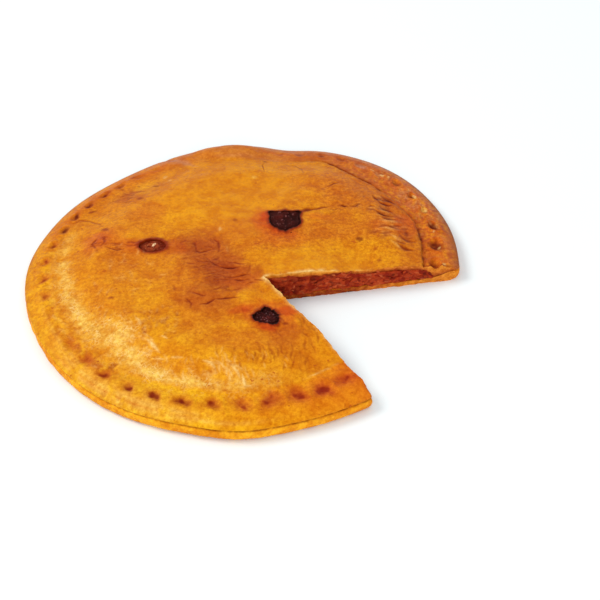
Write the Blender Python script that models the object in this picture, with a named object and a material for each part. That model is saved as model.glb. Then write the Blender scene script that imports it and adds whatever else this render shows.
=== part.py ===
"""A round, flat savoury pie with a wedge-shaped gap cut in it: a base sheet of dough with a
thick rolled rim, a cooked filling that shows in the two cuts, and a domed lid of dough whose
flange is pressed to the rim by a row of dimples and which is open at three steam vents.

Metres, +Z up. The origin is on the underside at the middle of the pie."""

import math

import bmesh
import bpy
from mathutils import Vector, noise

MM = 0.001

# Outline
PIE_RADIUS = 140 * MM
# Where hand shaping left the round outline full or flat: direction and half width in degrees, rise
OUTLINE_SWELLS = (
    (48, 22, 5.5 * MM),
    (80, 8, -5.0 * MM),
    (133, 22, -5.5 * MM),
    (165, 12, -1.0 * MM),
    (184, 16, 1.5 * MM),
    (240, 24, 2.0 * MM),
    (270, 9, 2.4 * MM),
    (296, 12, -1.0 * MM),
    (358, 14, -3.5 * MM),
)

# The gap: its tip and the directions of its two cuts, in degrees
CUT_TIP = (11 * MM, -25.5 * MM)
FAR_CUT = 10.1
NEAR_CUT = 305.2

# Heights above the underside, and the thickness of each sheet
BASE_THICK = 3.5 * MM
RIM_HEIGHT = 7.8 * MM
SEAM_RISE = 0.9 * MM
FLANGE_RISE = 4.6 * MM
DOME_RISE = 6.6 * MM
CROWN_RISE = 1.4 * MM
LID_THICK = 3.2 * MM
GAP = 0.3 * MM

# Where each slope of the section starts, as a distance in from the outline, and how long it runs
RIM_SLOPE = (2 * MM, 20 * MM)
FLANGE_SLOPE = (0 * MM, 14 * MM)
DOME_SLOPE = (17 * MM, 36 * MM)
CROWN_SLOPE = (50 * MM, 60 * MM)
LUMP_SLOPE = (20 * MM, 22 * MM)
CLOSING_SLOPE = (18 * MM, 5 * MM)
FILLING_EDGE = 20 * MM
LID_EDGE = 0.5 * MM

# The flange is wider at the near cut: direction and half width in degrees, added width
WIDE_FLANGE = (298, 22, 7 * MM)

# The groove where the lid is tucked against the flange on the far side, with its arc in degrees
CREASE_AT = 23 * MM
CREASE_WIDTH = 1.7 * MM
CREASE_DEPTH = 1.5 * MM
CREASE_ARC = (356, 74)
CREASE_FADE = 8

# Lumps of filling under the lid: height, spacing along X and along Y, and the waves' two shifts
LUMPS = (
    (0.75 * MM, 17 * MM, 21 * MM, 1.3, 1.2),
    (0.35 * MM, 11 * MM, 13 * MM, 2.0, 0.3),
)

# A sag of the lid beside the far cut: place, radius and depth
SAG_AT = (79 * MM, -9 * MM)
SAG_RADIUS = 22 * MM
SAG_DEPTH = 4.0 * MM

# A fold of the flange that stands up on the far side: its middle, half length and half width, turn
# and height, and the slope by which it rises from the outline
FOLD_AT = (-20 * MM, 128 * MM)
FOLD_HALF = (24 * MM, 12 * MM)
FOLD_TURN = math.radians(-8)
FOLD_RISE = 2.2 * MM
FOLD_SLOPE = (0 * MM, 5 * MM)

# Dimples pressed round the flange
DIMPLE_PITCH = 7.2
DIMPLE_START = 1.7
DIMPLE_ROW = 12.3 * MM
DIMPLE_RADIUS = 4.6 * MM
DIMPLE_DEPTH = 1.9 * MM
DIMPLE_FROM_CUT = 2.6
# Where the hand ran ahead of the even steps or behind: direction and half width, turn, in degrees
DIMPLE_DRIFTS = ((45, 25, 2.8), (165, 25, -1.6), (275, 38, 2.8), (358, 12, -4.2))
# Where the row lies further in: direction and half width in degrees, distance
ROW_SHIFTS = ((0, 10, 3.4 * MM), (298, 14, 3.7 * MM))

# Steam vents: name, middle, half width, half length, and how far up its far side is cut straight
VENTS = (
    ("vent_far", (24 * MM, 36 * MM), 12.0 * MM, 16.0 * MM, 0.34),
    ("vent_near", (13 * MM, -59.5 * MM), 8.5 * MM, 8.0 * MM, 0.9),
    ("vent_left", (-61 * MM, 6 * MM), 9.0 * MM, 7.0 * MM, 1.0),
)
VENT_SIDES = 12
VENT_CUT_HEIGHT = 12 * MM

# Flakes that stand out of the cut filling, and the columns and rows of faces that they take
FLAKE_HEIGHT = 2.8 * MM
FLAKE_LENGTH = 4.2 * MM
FLAKE_FLATNESS = 1.6
COLUMN_STEP = 3.2 * MM
ROW_STEP = 2.6 * MM
SNAP = 0.3 * MM

# Rings of the sections: shares of the way to the rim zone, and distances in from the outline
TURN_STEPS = 84
RIM_ZONE = 40 * MM
TOP_INNER = (0.14, 0.28, 0.42, 0.55, 0.67, 0.78, 0.89, 1.0)
TOP_RIM = [mm * MM for mm in (32, 27.5, 25, 23, 21, 17.5, 13, 9, 5.5, 3.2, 1.8)]
HIDDEN_INNER = (0.2, 0.4, 0.6, 0.8, 1.0)
HIDDEN_RIM = [mm * MM for mm in (30, 26, 23, 20, 18, 13, 8, 4)]
FLAT_SHARE = 0.5
FLAT_RIM = 30 * MM
# Distance in from the outline, and share of the height there
BASE_SIDE = ((1.2 * MM, 1), (0.3 * MM, 0.82), (0, 0.55), (0.5 * MM, 0.28), (1.8 * MM, 0.08))
BASE_FOOT = 3.4 * MM

SMOOTH_ANGLE = 35
TINY = 1e-6


def smooth(value):
    """Runs from 0 to 1 with level ends."""
    share = min(1.0, max(0.0, value))
    return share * share * (3 - 2 * share)


def along_slope(distance, slope):
    """The share of a slope that lies outside a distance in from the outline."""
    start, run = slope
    return (distance - start) / run


def turn_between(angle, middle):
    """The difference of two directions in degrees, from -180 to 180."""
    return (angle - middle + 180) % 360 - 180


def bump(angle, middle, width):
    """1 in the middle direction, falling to 0 on both sides."""
    return math.exp(-((turn_between(angle, middle) / width) ** 2))


def direction_of(x, y):
    return math.degrees(math.atan2(y, x))


def sum_of_bumps(angle, bumps):
    """The sum of bumps, each given as a direction, a half width and a height."""
    return sum(height * bump(angle, middle, width) for middle, width, height in bumps)


def outline_radius(angle):
    """The pie's outer radius in a direction given in degrees."""
    return PIE_RADIUS + sum_of_bumps(angle, OUTLINE_SWELLS)


def edge_distance(x, y):
    """How far a place is in from the outline."""
    return outline_radius(direction_of(x, y)) - math.hypot(x, y)


def crease_share(angle):
    """1 along the arc where the lid is tucked in, 0 elsewhere."""
    start, end = CREASE_ARC
    half = turn_between(end, start) / 2
    away = abs(turn_between(angle, start + half))
    return smooth((half + CREASE_FADE / 2 - away) / CREASE_FADE)


def lumps(x, y):
    """The lid's slow unevenness over the filling, with its sag beside the far cut."""
    waves = sum(
        rise * math.sin(x / run_x + shift_x) * math.sin(y / run_y + shift_y)
        for rise, run_x, run_y, shift_x, shift_y in LUMPS
    )
    away = math.hypot(x - SAG_AT[0], y - SAG_AT[1]) / SAG_RADIUS
    return waves - SAG_DEPTH * math.exp(-away * away)


def fold_share(x, y):
    """1 on the raised fold of the flange, 0 away from it."""
    off_x, off_y = x - FOLD_AT[0], y - FOLD_AT[1]
    along = (off_x * math.cos(FOLD_TURN) + off_y * math.sin(FOLD_TURN)) / FOLD_HALF[0]
    across = (off_y * math.cos(FOLD_TURN) - off_x * math.sin(FOLD_TURN)) / FOLD_HALF[1]
    return smooth((1.35 - math.hypot(along, across)) / 0.8)


def base_top(x, y):
    """The upper face of the base sheet, which thickens into the rim."""
    rim_share = 1 - smooth(along_slope(edge_distance(x, y), RIM_SLOPE))
    return BASE_THICK + (RIM_HEIGHT - BASE_THICK) * rim_share


def lid_top(x, y):
    """The lid's upper face: edge, flange, crease, shoulder and crown."""
    inward = edge_distance(x, y)
    angle = direction_of(x, y)
    flange = min(1.0, max(0.0, along_slope(inward, FLANGE_SLOPE)))
    middle, width, wider = WIDE_FLANGE
    dome_inward = inward - wider * bump(angle, middle, width)
    height = RIM_HEIGHT + SEAM_RISE + FLANGE_RISE * math.sin(flange * math.pi / 2)
    height += DOME_RISE * smooth(along_slope(dome_inward, DOME_SLOPE))
    height += CROWN_RISE * smooth(along_slope(inward, CROWN_SLOPE))
    height += lumps(x, y) * smooth(along_slope(inward, LUMP_SLOPE))
    height += FOLD_RISE * fold_share(x, y) * smooth(along_slope(inward, FOLD_SLOPE))
    groove = math.exp(-(((inward - CREASE_AT) / CREASE_WIDTH) ** 2))
    return height - CREASE_DEPTH * groove * crease_share(angle)


def lid_under(x, y):
    """The lid's lower face, which lies on the rim and then lifts over the filling."""
    lift = smooth(along_slope(edge_distance(x, y), CLOSING_SLOPE))
    on_rim = base_top(x, y) + GAP
    return on_rim + (lid_top(x, y) - LID_THICK - on_rim) * lift


def filling_top(x, y):
    return lid_under(x, y) - GAP


def filling_under(x, y):
    return base_top(x, y) + GAP


def ground(x, y):
    return 0.0


def from_tip(distance, direction):
    """The place at a distance from the gap's tip, in a direction given in radians."""
    x = CUT_TIP[0] + distance * math.cos(direction)
    y = CUT_TIP[1] + distance * math.sin(direction)
    return x, y


def reach_from_tip(direction):
    """Distance from the gap's tip to the outline, found by stepping on by what is left."""
    reach = PIE_RADIUS
    for _ in range(14):
        reach += edge_distance(*from_tip(reach, direction))
    return reach


def inner(share, level):
    """A corner of a section in the pie's inner part, by its share of the way to the rim zone."""
    return share, level


def rim(distance, level):
    """A corner of a section in the rim zone, by its distance in from the outline."""
    return 2 - distance / RIM_ZONE, level


def turned_slab(name, section, top, under, material, flaked=False):
    """Turns a section about the gap's tip from one cut to the other, closes both cuts, and moves
    each corner to the pie's real outline and to its height between two surfaces."""
    sweep = math.radians(NEAR_CUT - FAR_CUT)
    shape = bmesh.new()
    corners = [shape.verts.new((reach, 0, level)) for reach, level in section]
    sides = [shape.edges.new(pair) for pair in zip(corners, corners[1:])]
    bmesh.ops.spin(
        shape,
        geom=corners + sides,
        cent=(0, 0, 0),
        axis=(0, 0, 1),
        angle=sweep,
        steps=TURN_STEPS,
        use_merge=False,
    )
    bmesh.ops.remove_doubles(shape, verts=shape.verts, dist=TINY)
    tips = [vert for vert in shape.verts if math.hypot(vert.co.x, vert.co.y) < TINY]
    tip_edge = shape.edges.new(tips)
    open_edges = [edge for edge in shape.edges if edge.is_boundary]
    half_step = sweep / TURN_STEPS / 2
    cuts = []
    for turn, side in ((0, -1), (sweep, 1)):
        cut = [edge for edge in open_edges if abs(edge_turn(edge) - turn) < half_step]
        face = bmesh.ops.contextual_create(shape, geom=cut + [tip_edge])["faces"][0]
        cuts.append((face, turn + math.radians(FAR_CUT), side))
    for vert in shape.verts:
        place_corner(vert, top, under)
    if flaked:
        for face, direction, side in cuts:
            roughen_cut(shape, face, direction, side)
    bmesh.ops.triangulate(shape, faces=shape.faces, quad_method="SHORT_EDGE")
    bmesh.ops.recalc_face_normals(shape, faces=shape.faces)
    return as_object(name, shape, material)


def edge_turn(edge):
    """The direction of an edge's middle about the tip, in radians from the far cut."""
    middle = (edge.verts[0].co + edge.verts[1].co) / 2
    return math.atan2(middle.y, middle.x) % (2 * math.pi)


def place_corner(vert, top, under):
    """Moves a corner of the turned section from its share and level to its real place."""
    share = math.hypot(vert.co.x, vert.co.y)
    direction = math.atan2(vert.co.y, vert.co.x) + math.radians(FAR_CUT)
    whole = reach_from_tip(direction)
    if share <= 1:
        distance = share * (whole - RIM_ZONE)
    else:
        distance = whole - (2 - share) * RIM_ZONE
    x, y = from_tip(distance, direction)
    low = under(x, y)
    vert.co = (x, y, low + (top(x, y) - low) * vert.co.z)


def roughen_cut(shape, face, direction, side):
    """Cuts a closing face into columns and rows, and moves its inner corners out of the cut or
    into it. side is 1 where the gap lies anticlockwise of the face and -1 where it lies clockwise."""
    along = Vector((math.cos(direction), math.sin(direction), 0))
    out = Vector((-along.y, along.x, 0)) * side
    tip = Vector((*CUT_TIP, 0))
    reach = max((vert.co - tip).dot(along) for vert in face.verts)
    height = max(vert.co.z for vert in face.verts)
    planes = []
    for step in range(1, round(reach / COLUMN_STEP)):
        planes.append((tip + along * (step * COLUMN_STEP), along))
    for step in range(2, round(height / ROW_STEP)):
        planes.append((Vector((0, 0, step * ROW_STEP)), Vector((0, 0, 1))))
    faces = [face]
    for place, normal in planes:
        corners = {vert for each in faces for vert in each.verts}
        edges = {edge for each in faces for edge in each.edges}
        bmesh.ops.bisect_plane(
            shape, geom=[*corners, *edges, *faces], dist=SNAP, plane_co=place, plane_no=normal
        )
        faces = [each for each in shape.faces if lies_in_cut(each, tip, along)]
    cut_faces = set(faces)
    inside = {v for each in faces for v in each.verts if cut_faces.issuperset(v.link_faces)}
    for vert in inside:
        vert.co += out * flake_height(vert.co)


def lies_in_cut(face, tip, along):
    """Whether every corner of a face is on the upright plane that runs from the tip."""
    across = Vector((-along.y, along.x, 0))
    places = [vert.co - tip for vert in face.verts]
    return all(abs(p.dot(across)) < TINY and p.dot(along) > -TINY for p in places)


def flake_height(place):
    """How far a flake of the filling stands out of the cut, or a hollow goes in."""
    spot = Vector((place.x, place.y, FLAKE_FLATNESS * place.z)) / FLAKE_LENGTH
    return FLAKE_HEIGHT * noise.noise(spot)


def as_object(name, shape, material):
    mesh = bpy.data.meshes.new(name)
    shape.to_mesh(mesh)
    shape.free()
    mesh.shade_smooth()
    mesh.set_sharp_from_angle(angle=math.radians(SMOOTH_ANGLE))
    if material is not None:
        mesh.materials.append(material)
    return bpy.data.objects.new(name, mesh)


def finish(name, colour, roughness):
    material = bpy.data.materials.new(name)
    material.use_nodes = True
    shader = material.node_tree.nodes["Principled BSDF"]
    shader.inputs["Base Color"].default_value = (*colour, 1)
    shader.inputs["Roughness"].default_value = roughness
    shader.inputs["Metallic"].default_value = 0.0
    return material


def make_base(material):
    """The base sheet with its thick, rounded rim."""
    section = [inner(0, 1), inner(FLAT_SHARE, 1)]
    section += [rim(distance, 1) for distance in HIDDEN_RIM]
    section += [rim(distance, level) for distance, level in BASE_SIDE]
    section += [rim(BASE_FOOT, 0), rim(FLAT_RIM, 0), inner(FLAT_SHARE, 0), inner(0, 0)]
    return turned_slab("base_crust", section, base_top, ground, material)


def make_filling(material):
    """The cooked filling, which runs through the pie and thins out before the rim."""
    inside = [distance for distance in HIDDEN_RIM if distance >= FILLING_EDGE]
    section = [inner(0, 1)]
    section += [inner(share, 1) for share in HIDDEN_INNER]
    section += [rim(distance, 1) for distance in inside]
    section += [rim(distance, 0) for distance in reversed(inside)]
    section += [inner(FLAT_SHARE, 0), inner(0, 0)]
    return turned_slab("filling", section, filling_top, filling_under, material, flaked=True)


def make_lid(material):
    """The domed lid with its flange, before the vents and dimples are pressed in."""
    section = [inner(0, 1)]
    section += [inner(share, 1) for share in TOP_INNER]
    section += [rim(distance, 1) for distance in TOP_RIM]
    section += [rim(1.5 * LID_EDGE, 0.85), rim(LID_EDGE, 0.4), rim(2 * LID_EDGE, 0)]
    section += [rim(distance, 0) for distance in reversed(HIDDEN_RIM)]
    section += [inner(share, 0) for share in reversed(HIDDEN_INNER)]
    section += [inner(0, 0)]
    return turned_slab("lid_crust", section, lid_top, lid_under, material)


def vent_cutter(name, middle, half_width, half_length, straight):
    """A prism of the vent's outline: an oval whose far side is cut straight."""
    shape = bmesh.new()
    bmesh.ops.create_cone(
        shape,
        cap_ends=True,
        segments=VENT_SIDES,
        radius1=1.0,
        radius2=1.0,
        depth=VENT_CUT_HEIGHT,
    )
    level = lid_top(*middle)
    for vert in shape.verts:
        x = middle[0] + vert.co.x * half_width
        y = middle[1] + min(vert.co.y, straight) * half_length
        vert.co = (x, y, level + vert.co.z)
    return as_object(name, shape, None)


def dimple_places():
    """The middles of the dimples, stepped by hand round the flange between the two cuts."""
    places = []
    for step in range(round(360 / DIMPLE_PITCH)):
        angle = step * DIMPLE_PITCH + DIMPLE_START
        angle += sum_of_bumps(angle, DIMPLE_DRIFTS)
        radius = outline_radius(angle) - DIMPLE_ROW - sum_of_bumps(angle, ROW_SHIFTS)
        x = radius * math.cos(math.radians(angle))
        y = radius * math.sin(math.radians(angle))
        direction = direction_of(x - CUT_TIP[0], y - CUT_TIP[1]) % 360
        if FAR_CUT + DIMPLE_FROM_CUT < direction < NEAR_CUT - DIMPLE_FROM_CUT:
            places.append((x, y))
    return places


def dimple_cutter(index, x, y):
    """A ball that dips into the flange."""
    shape = bmesh.new()
    bmesh.ops.create_uvsphere(shape, u_segments=8, v_segments=6, radius=DIMPLE_RADIUS)
    middle = Vector((x, y, lid_top(x, y) + DIMPLE_RADIUS - DIMPLE_DEPTH))
    bmesh.ops.translate(shape, verts=shape.verts, vec=middle)
    return as_object(f"dimple_{index:02d}", shape, None)


def press_lid(lid):
    """Cuts the vents through the lid and presses the dimples into its flange."""
    cutters = new_collection("cutters")
    for vent in VENTS:
        cutters.objects.link(vent_cutter(*vent))
    for index, (x, y) in enumerate(dimple_places()):
        cutters.objects.link(dimple_cutter(index, x, y))
    for cutter in cutters.objects:
        cutter.hide_render = True
        cutter.display_type = "WIRE"
    press = lid.modifiers.new("vents and dimples", "BOOLEAN")
    press.operation = "DIFFERENCE"
    press.operand_type = "COLLECTION"
    press.collection = cutters
    press.solver = "EXACT"


def new_collection(name):
    collection = bpy.data.collections.new(name)
    bpy.context.scene.collection.children.link(collection)
    return collection


def main():
    for old in list(bpy.data.objects):
        bpy.data.objects.remove(old)
    pie = new_collection("empanada_pie")
    base = make_base(finish("base dough", (0.74, 0.36, 0.07), 0.7))
    filling = make_filling(finish("cooked filling", (0.27, 0.06, 0.02), 0.6))
    lid = make_lid(finish("lid dough", (0.70, 0.24, 0.02), 0.5))
    for piece in (base, filling, lid):
        pie.objects.link(piece)
    press_lid(lid)


main()
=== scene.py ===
"""Looks of a round savoury pie with a wedge-shaped gap cut in it.

The lid, the filling and the base are laid out as dense sheets, moved to the baked shape, and
coloured by where the oven browned them, with light and shade painted in at some places. Metres,
+Z up, with the origin under the pie's middle."""

import math
import random

import bmesh
import bpy
import numpy as np
from mathutils import Matrix, Vector, noise


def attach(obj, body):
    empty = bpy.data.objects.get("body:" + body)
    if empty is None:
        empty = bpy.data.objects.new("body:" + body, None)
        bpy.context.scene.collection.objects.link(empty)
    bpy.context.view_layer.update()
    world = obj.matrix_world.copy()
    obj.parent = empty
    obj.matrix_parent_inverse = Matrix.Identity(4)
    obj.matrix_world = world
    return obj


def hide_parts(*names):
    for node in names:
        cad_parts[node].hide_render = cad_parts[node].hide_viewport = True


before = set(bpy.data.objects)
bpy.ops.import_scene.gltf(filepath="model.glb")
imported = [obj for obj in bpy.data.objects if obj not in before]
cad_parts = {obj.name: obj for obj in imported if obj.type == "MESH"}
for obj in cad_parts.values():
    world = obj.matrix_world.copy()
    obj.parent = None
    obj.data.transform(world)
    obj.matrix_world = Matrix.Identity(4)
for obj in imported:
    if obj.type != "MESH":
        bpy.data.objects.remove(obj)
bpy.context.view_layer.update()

MM = 0.001
TINY = 1e-6

# Outline, cuts and heights, the same as the solids have
PIE_RADIUS = 140 * MM
OUTLINE_SWELLS = (
    (48, 22, 5.5 * MM),
    (80, 8, -5.0 * MM),
    (133, 22, -5.5 * MM),
    (165, 12, -1.0 * MM),
    (184, 16, 1.5 * MM),
    (240, 24, 2.0 * MM),
    (270, 9, 2.4 * MM),
    (296, 12, -1.0 * MM),
    (358, 14, -3.5 * MM),
)
CUT_TIP = (11 * MM, -25.5 * MM)
FAR_CUT = math.radians(10.1)
NEAR_CUT = math.radians(305.2)
SWEEP = NEAR_CUT - FAR_CUT
# Each cut's direction, and the side of it that the gap lies on
CUT_SIDES = ((FAR_CUT, -1), (NEAR_CUT, 1))
# How often the distance to the outline is worked out again before it is exact
OUTLINE_ROUNDS = 14
BASE_THICK = 3.5 * MM
RIM_HEIGHT = 7.8 * MM
SEAM_RISE = 0.9 * MM
FLANGE_RISE = 4.6 * MM
DOME_RISE = 6.6 * MM
CROWN_RISE = 1.4 * MM
LID_THICK = 3.2 * MM
RIM_SLOPE = (2 * MM, 20 * MM)
FLANGE_SLOPE = (0 * MM, 14 * MM)
DOME_SLOPE = (17 * MM, 36 * MM)
CROWN_SLOPE = (50 * MM, 60 * MM)
LUMP_SLOPE = (20 * MM, 22 * MM)
CLOSING_SLOPE = (18 * MM, 5 * MM)
WIDE_FLANGE = (298, 22, 7 * MM)
FILLING_EDGE = 19.5 * MM
LID_EDGE = 0.5 * MM
CORNER_RADIUS = 3 * MM
LUMPS = (
    (0.75 * MM, 17 * MM, 21 * MM, 1.3, 1.2),
    (0.35 * MM, 11 * MM, 13 * MM, 2.0, 0.3),
)
SAG_AT = (79 * MM, -9 * MM)
SAG_RADIUS = 22 * MM
SAG_DEPTH = 4.0 * MM
FOLD_PLACE = ((-20, 128), (24, 12), -8)
FOLD_RISE = 2.2 * MM
FOLD_SLOPE = (0 * MM, 5 * MM)

# The foot of the dome by direction in degrees, as a distance in from the outline in millimetres
DOME_FOOT = (
    (-59, 29),
    (-5, 24),
    (10, 24),
    (20, 23),
    (28, 27),
    (43, 29),
    (54, 28.5),
    (61, 23.5),
    (66, 20),
    (76, 23),
    (90, 24),
    (130, 20),
    (150, 17),
    (181, 17.5),
    (214, 16.5),
    (235, 20),
    (264, 23.5),
    (289, 24.5),
    (300, 29),
)
# The groove at the foot where the lid is tucked in: how sharp it is by direction, its half width
# and its depth
CREASES = (
    (-15, 0.0),
    (-10, 0.9),
    (10, 0.9),
    (20, 0.75),
    (27, 0.4),
    (35, 0.3),
    (43, 1.0),
    (60, 1.0),
    (66, 0.5),
    (76, 0.2),
    (84, 0.0),
)
CREASE_WIDTH = 0.8 * MM
CREASE_DEPTH = 1.1 * MM
# The roll of dough beside the groove
ROLL_SLOPE = (3 * MM, 2.6 * MM)
ROLL_RISE = 0.5 * MM
# The low step where the dome meets the flange at the front
STEP_SLOPE = (-0.8 * MM, 1.6 * MM)
STEP_RUN = 9 * MM
STEP_RISE = 0.6 * MM
# How softly the dome runs into the flange, by direction, in millimetres
FOOT_SOFTNESS = (
    (-20, 2.0),
    (64, 2.0),
    (80, 6.0),
    (128, 7.0),
    (150, 4.0),
    (200, 3.0),
    (250, 2.4),
    (305, 1.6),
)

# The lid's unevenness, from slow to fine: how large its features are and how far they rise
SLOW_SIZE = 24 * MM
SLOW_RISE = 0.5 * MM
MEDIUM_SIZE = 9 * MM
MEDIUM_RISE = 0.26 * MM
FINE_SIZE = 3.4 * MM
FINE_RISE = 0.13 * MM
RAGGED_SIZE = 5 * MM
UNDER_SIZE = 4 * MM
UNDER_RISE = 0.45 * MM
UNEVEN_SLOPE = (16 * MM, 14 * MM)
EDGE_SLOPE = (0 * MM, 5 * MM)

# The uneven bulge of the base's side band: how far it goes and how large its features are
BAND_BULGE = 0.45 * MM
BAND_SIZE = 7 * MM

# How ragged the cuts are: how far it reaches into the pie, how far it moves the faces, and the
# size of its features
LID_RAGGED = (2.5 * MM, 0.8 * MM, 5 * MM)
BASE_RAGGED = (2.5 * MM, 0.7 * MM, 5 * MM)
FILLING_RAGGED = (2.2 * MM, 1.7 * MM, 6 * MM)

# Dimples pressed round the flange: even steps in degrees, with the drifts of the hand
DIMPLE_PITCH = 7.2
DIMPLE_START = 1.7
DIMPLE_DRIFTS = ((45, 25, 2.8), (165, 25, -1.6), (275, 38, 2.8), (358, 12, -4.2))
DIMPLE_ROW = 12.3 * MM
ROW_SHIFTS = ((0, 10, 4.4 * MM), (276, 17, 4.2 * MM), (302, 9, 4.4 * MM))
DIMPLE_FROM_CUT = 0.5
DIMPLE_REACH = 16 * MM
DIMPLE_SEED = 8
# By direction: how deep the dimples are in millimetres, their half length and half width, how
# strongly they are burnt, and in which colour
DIMPLE_KINDS = (
    (-8, 2.4, 4.4, 3.1, 1.0, 108, 20, 8),
    (14, 2.3, 4.3, 3.0, 1.0, 112, 24, 8),
    (24, 1.0, 3.2, 2.2, 0.5, 150, 66, 28),
    (33, 1.7, 3.4, 2.3, 1.0, 116, 34, 12),
    (46, 0.9, 3.6, 2.4, 0.5, 150, 70, 36),
    (60, 0.9, 3.8, 2.4, 0.5, 150, 70, 44),
    (69, 1.1, 3.4, 2.2, 0.7, 128, 56, 40),
    (84, 0.5, 3.4, 2.2, 0.3, 160, 70, 44),
    (96, 0.3, 3.2, 2.0, 0.0, 190, 100, 40),
    (128, 0.5, 3.2, 2.0, 0.2, 180, 86, 26),
    (138, 1.0, 3.6, 1.7, 0.9, 150, 60, 20),
    (148, 1.3, 3.6, 2.0, 1.0, 140, 44, 14),
    (167, 1.4, 3.4, 2.4, 1.0, 116, 34, 10),
    (173, 1.3, 3.4, 2.5, 1.0, 146, 44, 16),
    (180, 1.0, 3.2, 2.3, 0.8, 190, 80, 28),
    (190, 0.9, 3.6, 2.6, 0.8, 196, 92, 26),
    (210, 0.8, 3.6, 2.4, 0.5, 204, 112, 26),
    (219, 0.9, 4.4, 3.6, 0.6, 196, 88, 20),
    (230, 1.0, 4.0, 2.8, 0.8, 182, 72, 18),
    (240, 1.3, 4.0, 2.5, 1.0, 160, 52, 14),
    (256, 1.3, 4.2, 2.6, 1.0, 162, 52, 14),
    (264, 1.2, 4.6, 3.4, 0.95, 178, 62, 20),
    (271, 1.0, 4.8, 4.8, 0.85, 182, 62, 22),
    (290, 1.2, 4.8, 5.0, 0.85, 178, 54, 22),
    (300, 0.9, 5.2, 4.2, 0.85, 186, 58, 24),
)

# Steam vents: middle, half width and half length, how far up the far side is cut straight, and
# how ragged the edge is
VENTS = {
    "far": ((23.4 * MM, 36 * MM), (10.8 * MM, 15.8 * MM), 0.35, 0.13),
    "near": ((13.5 * MM, -61 * MM), (7.6 * MM, 6.8 * MM), 2.0, 0.26),
    "left": ((-61 * MM, 6 * MM), (8.6 * MM, 6.6 * MM), 2.0, 0.05),
}
# How black the lid is round each vent, and how far out in millimetres
VENT_BURNS = {"far": 1.0, "near": 1.0, "left": 0.15}
VENT_BURN_REACH = (22, 22)
# The raised lip round a vent
LIP_SLOPE = (0.6 * MM, 1.5 * MM)
LIP_RISE = 0.4 * MM
# The plugs that cut the vents through the lid
PLUG_SIDES = 160
PLUG_HEIGHT = 14 * MM
PLUG_RISE = 1 * MM

# How thick the lid is along the far cut, by the distance from the tip, in millimetres
FAR_EDGE_THICK = (
    (0, 2.8),
    (15, 3.2),
    (21, 4.6),
    (37, 4.4),
    (44, 2.2),
    (62, 2.0),
    (80, 2.8),
    (120, 3.2),
)
# Where the lid's edge along the far cut starts and stops being stained by the filling
STAIN_SLOPE = (44 * MM, 10 * MM)
STAIN_END_SLOPE = (98 * MM, 10 * MM)
# Where the cuts reach the rim: on the lid their edge is darker, and on the base it is cleaner
LID_RIM_SLOPE = (96 * MM, 10 * MM)
BASE_RIM_SLOPE = (50 * MM, 50 * MM)

# How dark the seam between the lid and the base is, by direction
SEAMS = (
    (-10, 0.6),
    (60, 0.3),
    (190, 0.1),
    (235, 0.25),
    (258, 0.5),
    (266, 0.8),
    (298, 0.8),
    (306, 0.5),
)

# How strong the fine speckle is by direction, and where it changes: middle, half length and half
# width in millimetres, turn in degrees, change
SPECKLES = (
    (-20, 0.7),
    (0, 1.0),
    (55, 1.0),
    (75, 0.6),
    (110, 0.5),
    (150, 0.8),
    (200, 0.8),
    (270, 0.75),
    (310, 0.6),
)
SPECKLE_CHANGES = (
    ((-10, 55), (60, 34), 0, -0.25),
    ((50, -6), (34, 14), 8, -0.3),
    ((78, 50), (30, 20), -50, 0.2),
    ((-20, -14), (28, 24), -30, 0.1),
)

# How strong the painted highlight along each cut's upper edge is, by the distance from the tip in
# millimetres, or how burnt where the value is below nothing
FAR_EDGE_GLEAM = (
    (0, 0.6),
    (14, 0.9),
    (42, 1.0),
    (50, 0.7),
    (62, 0.5),
    (72, 0.3),
    (84, -0.5),
    (112, -1.0),
    (124, -0.7),
)
NEAR_EDGE_GLEAM = (
    (0, 0.9),
    (30, 0.7),
    (46, 0.25),
    (76, 0.35),
    (84, 0.0),
)

# Sides of the pie that look apart: middle direction and half width in degrees
FRONT_SIDE = (245, 75)
LIT_FRONT_BAND = (250, 75)
BAKED_SIDE = (30, 60)
MOTTLED_SIDE = (22, 48)
# The far and right sides, where the flange's outer edge gets painted shade
SHADED_FAR_SIDE = (84, 95)
SHADED_RIGHT_SIDE = (14, 26)
WARM_SIDE = (286, 17)

# Density of the sheets: steps round the pie, and rows in the walls at the cuts
RIM_ZONE = 40 * MM
LID_STEPS = 200
LID_FINER = (0.18, 0.85)
FILLING_STEPS = 160
BASE_STEPS = 560
LID_ROWS = 6
BASE_ROWS = 4
FILLING_ROWS = 22

# Steps from the tip outwards: how many in the inner part and in the rim zone, and how far in from
# the outline they end
LID_TOP = (98, 38, 1.4 * MM)
FILLING_TOP = (36, 10, FILLING_EDGE)
BASE_WALL = (100, 36, 4 * MM)
FILLING_WALL = (150, 28, 20 * MM)

# Other rows of the sheets: in the inner part by their share of the way out, and in the rim zone by
# their distance in from the outline in millimetres
LID_UNDER_RIM = (4, 9, 14, 18, 20, 23, 27, 33)
LID_UNDER_INNER = (1, 0.75, 0.5, 0.25, 0)
BASE_TOP_INNER = (0, 0.25, 0.5, 0.75, 1)
BASE_TOP_RIM = (30, 25, 20, 15, 10, 7)
BASE_UNDER_RIM = (6, 12, 24)
UNDER_INNER = (1, 0.5, 0)
# The lid's rounded edge: distance in from the outline, in steps of its inset, and level
LID_SIDE = ((1.6, 0.97), (1.2, 0.86), (1.0, 0.66), (1.0, 0.45), (1.3, 0.22), (2.0, 0.0))
# The base's rounded side: distance in from the outline in millimetres, and level
BASE_SIDE = (
    (4, 1),
    (2.4, 1),
    (1.5, 0.99),
    (0.8, 0.95),
    (0.35, 0.87),
    (0.1, 0.76),
    (0, 0.64),
    (0, 0.5),
    (0.15, 0.38),
    (0.45, 0.26),
    (0.9, 0.16),
    (1.5, 0.08),
    (2.3, 0.03),
    (3.4, 0),
)

# How brightly the studio lights a level white surface
STUDIO_LIGHT = 1.2

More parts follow.
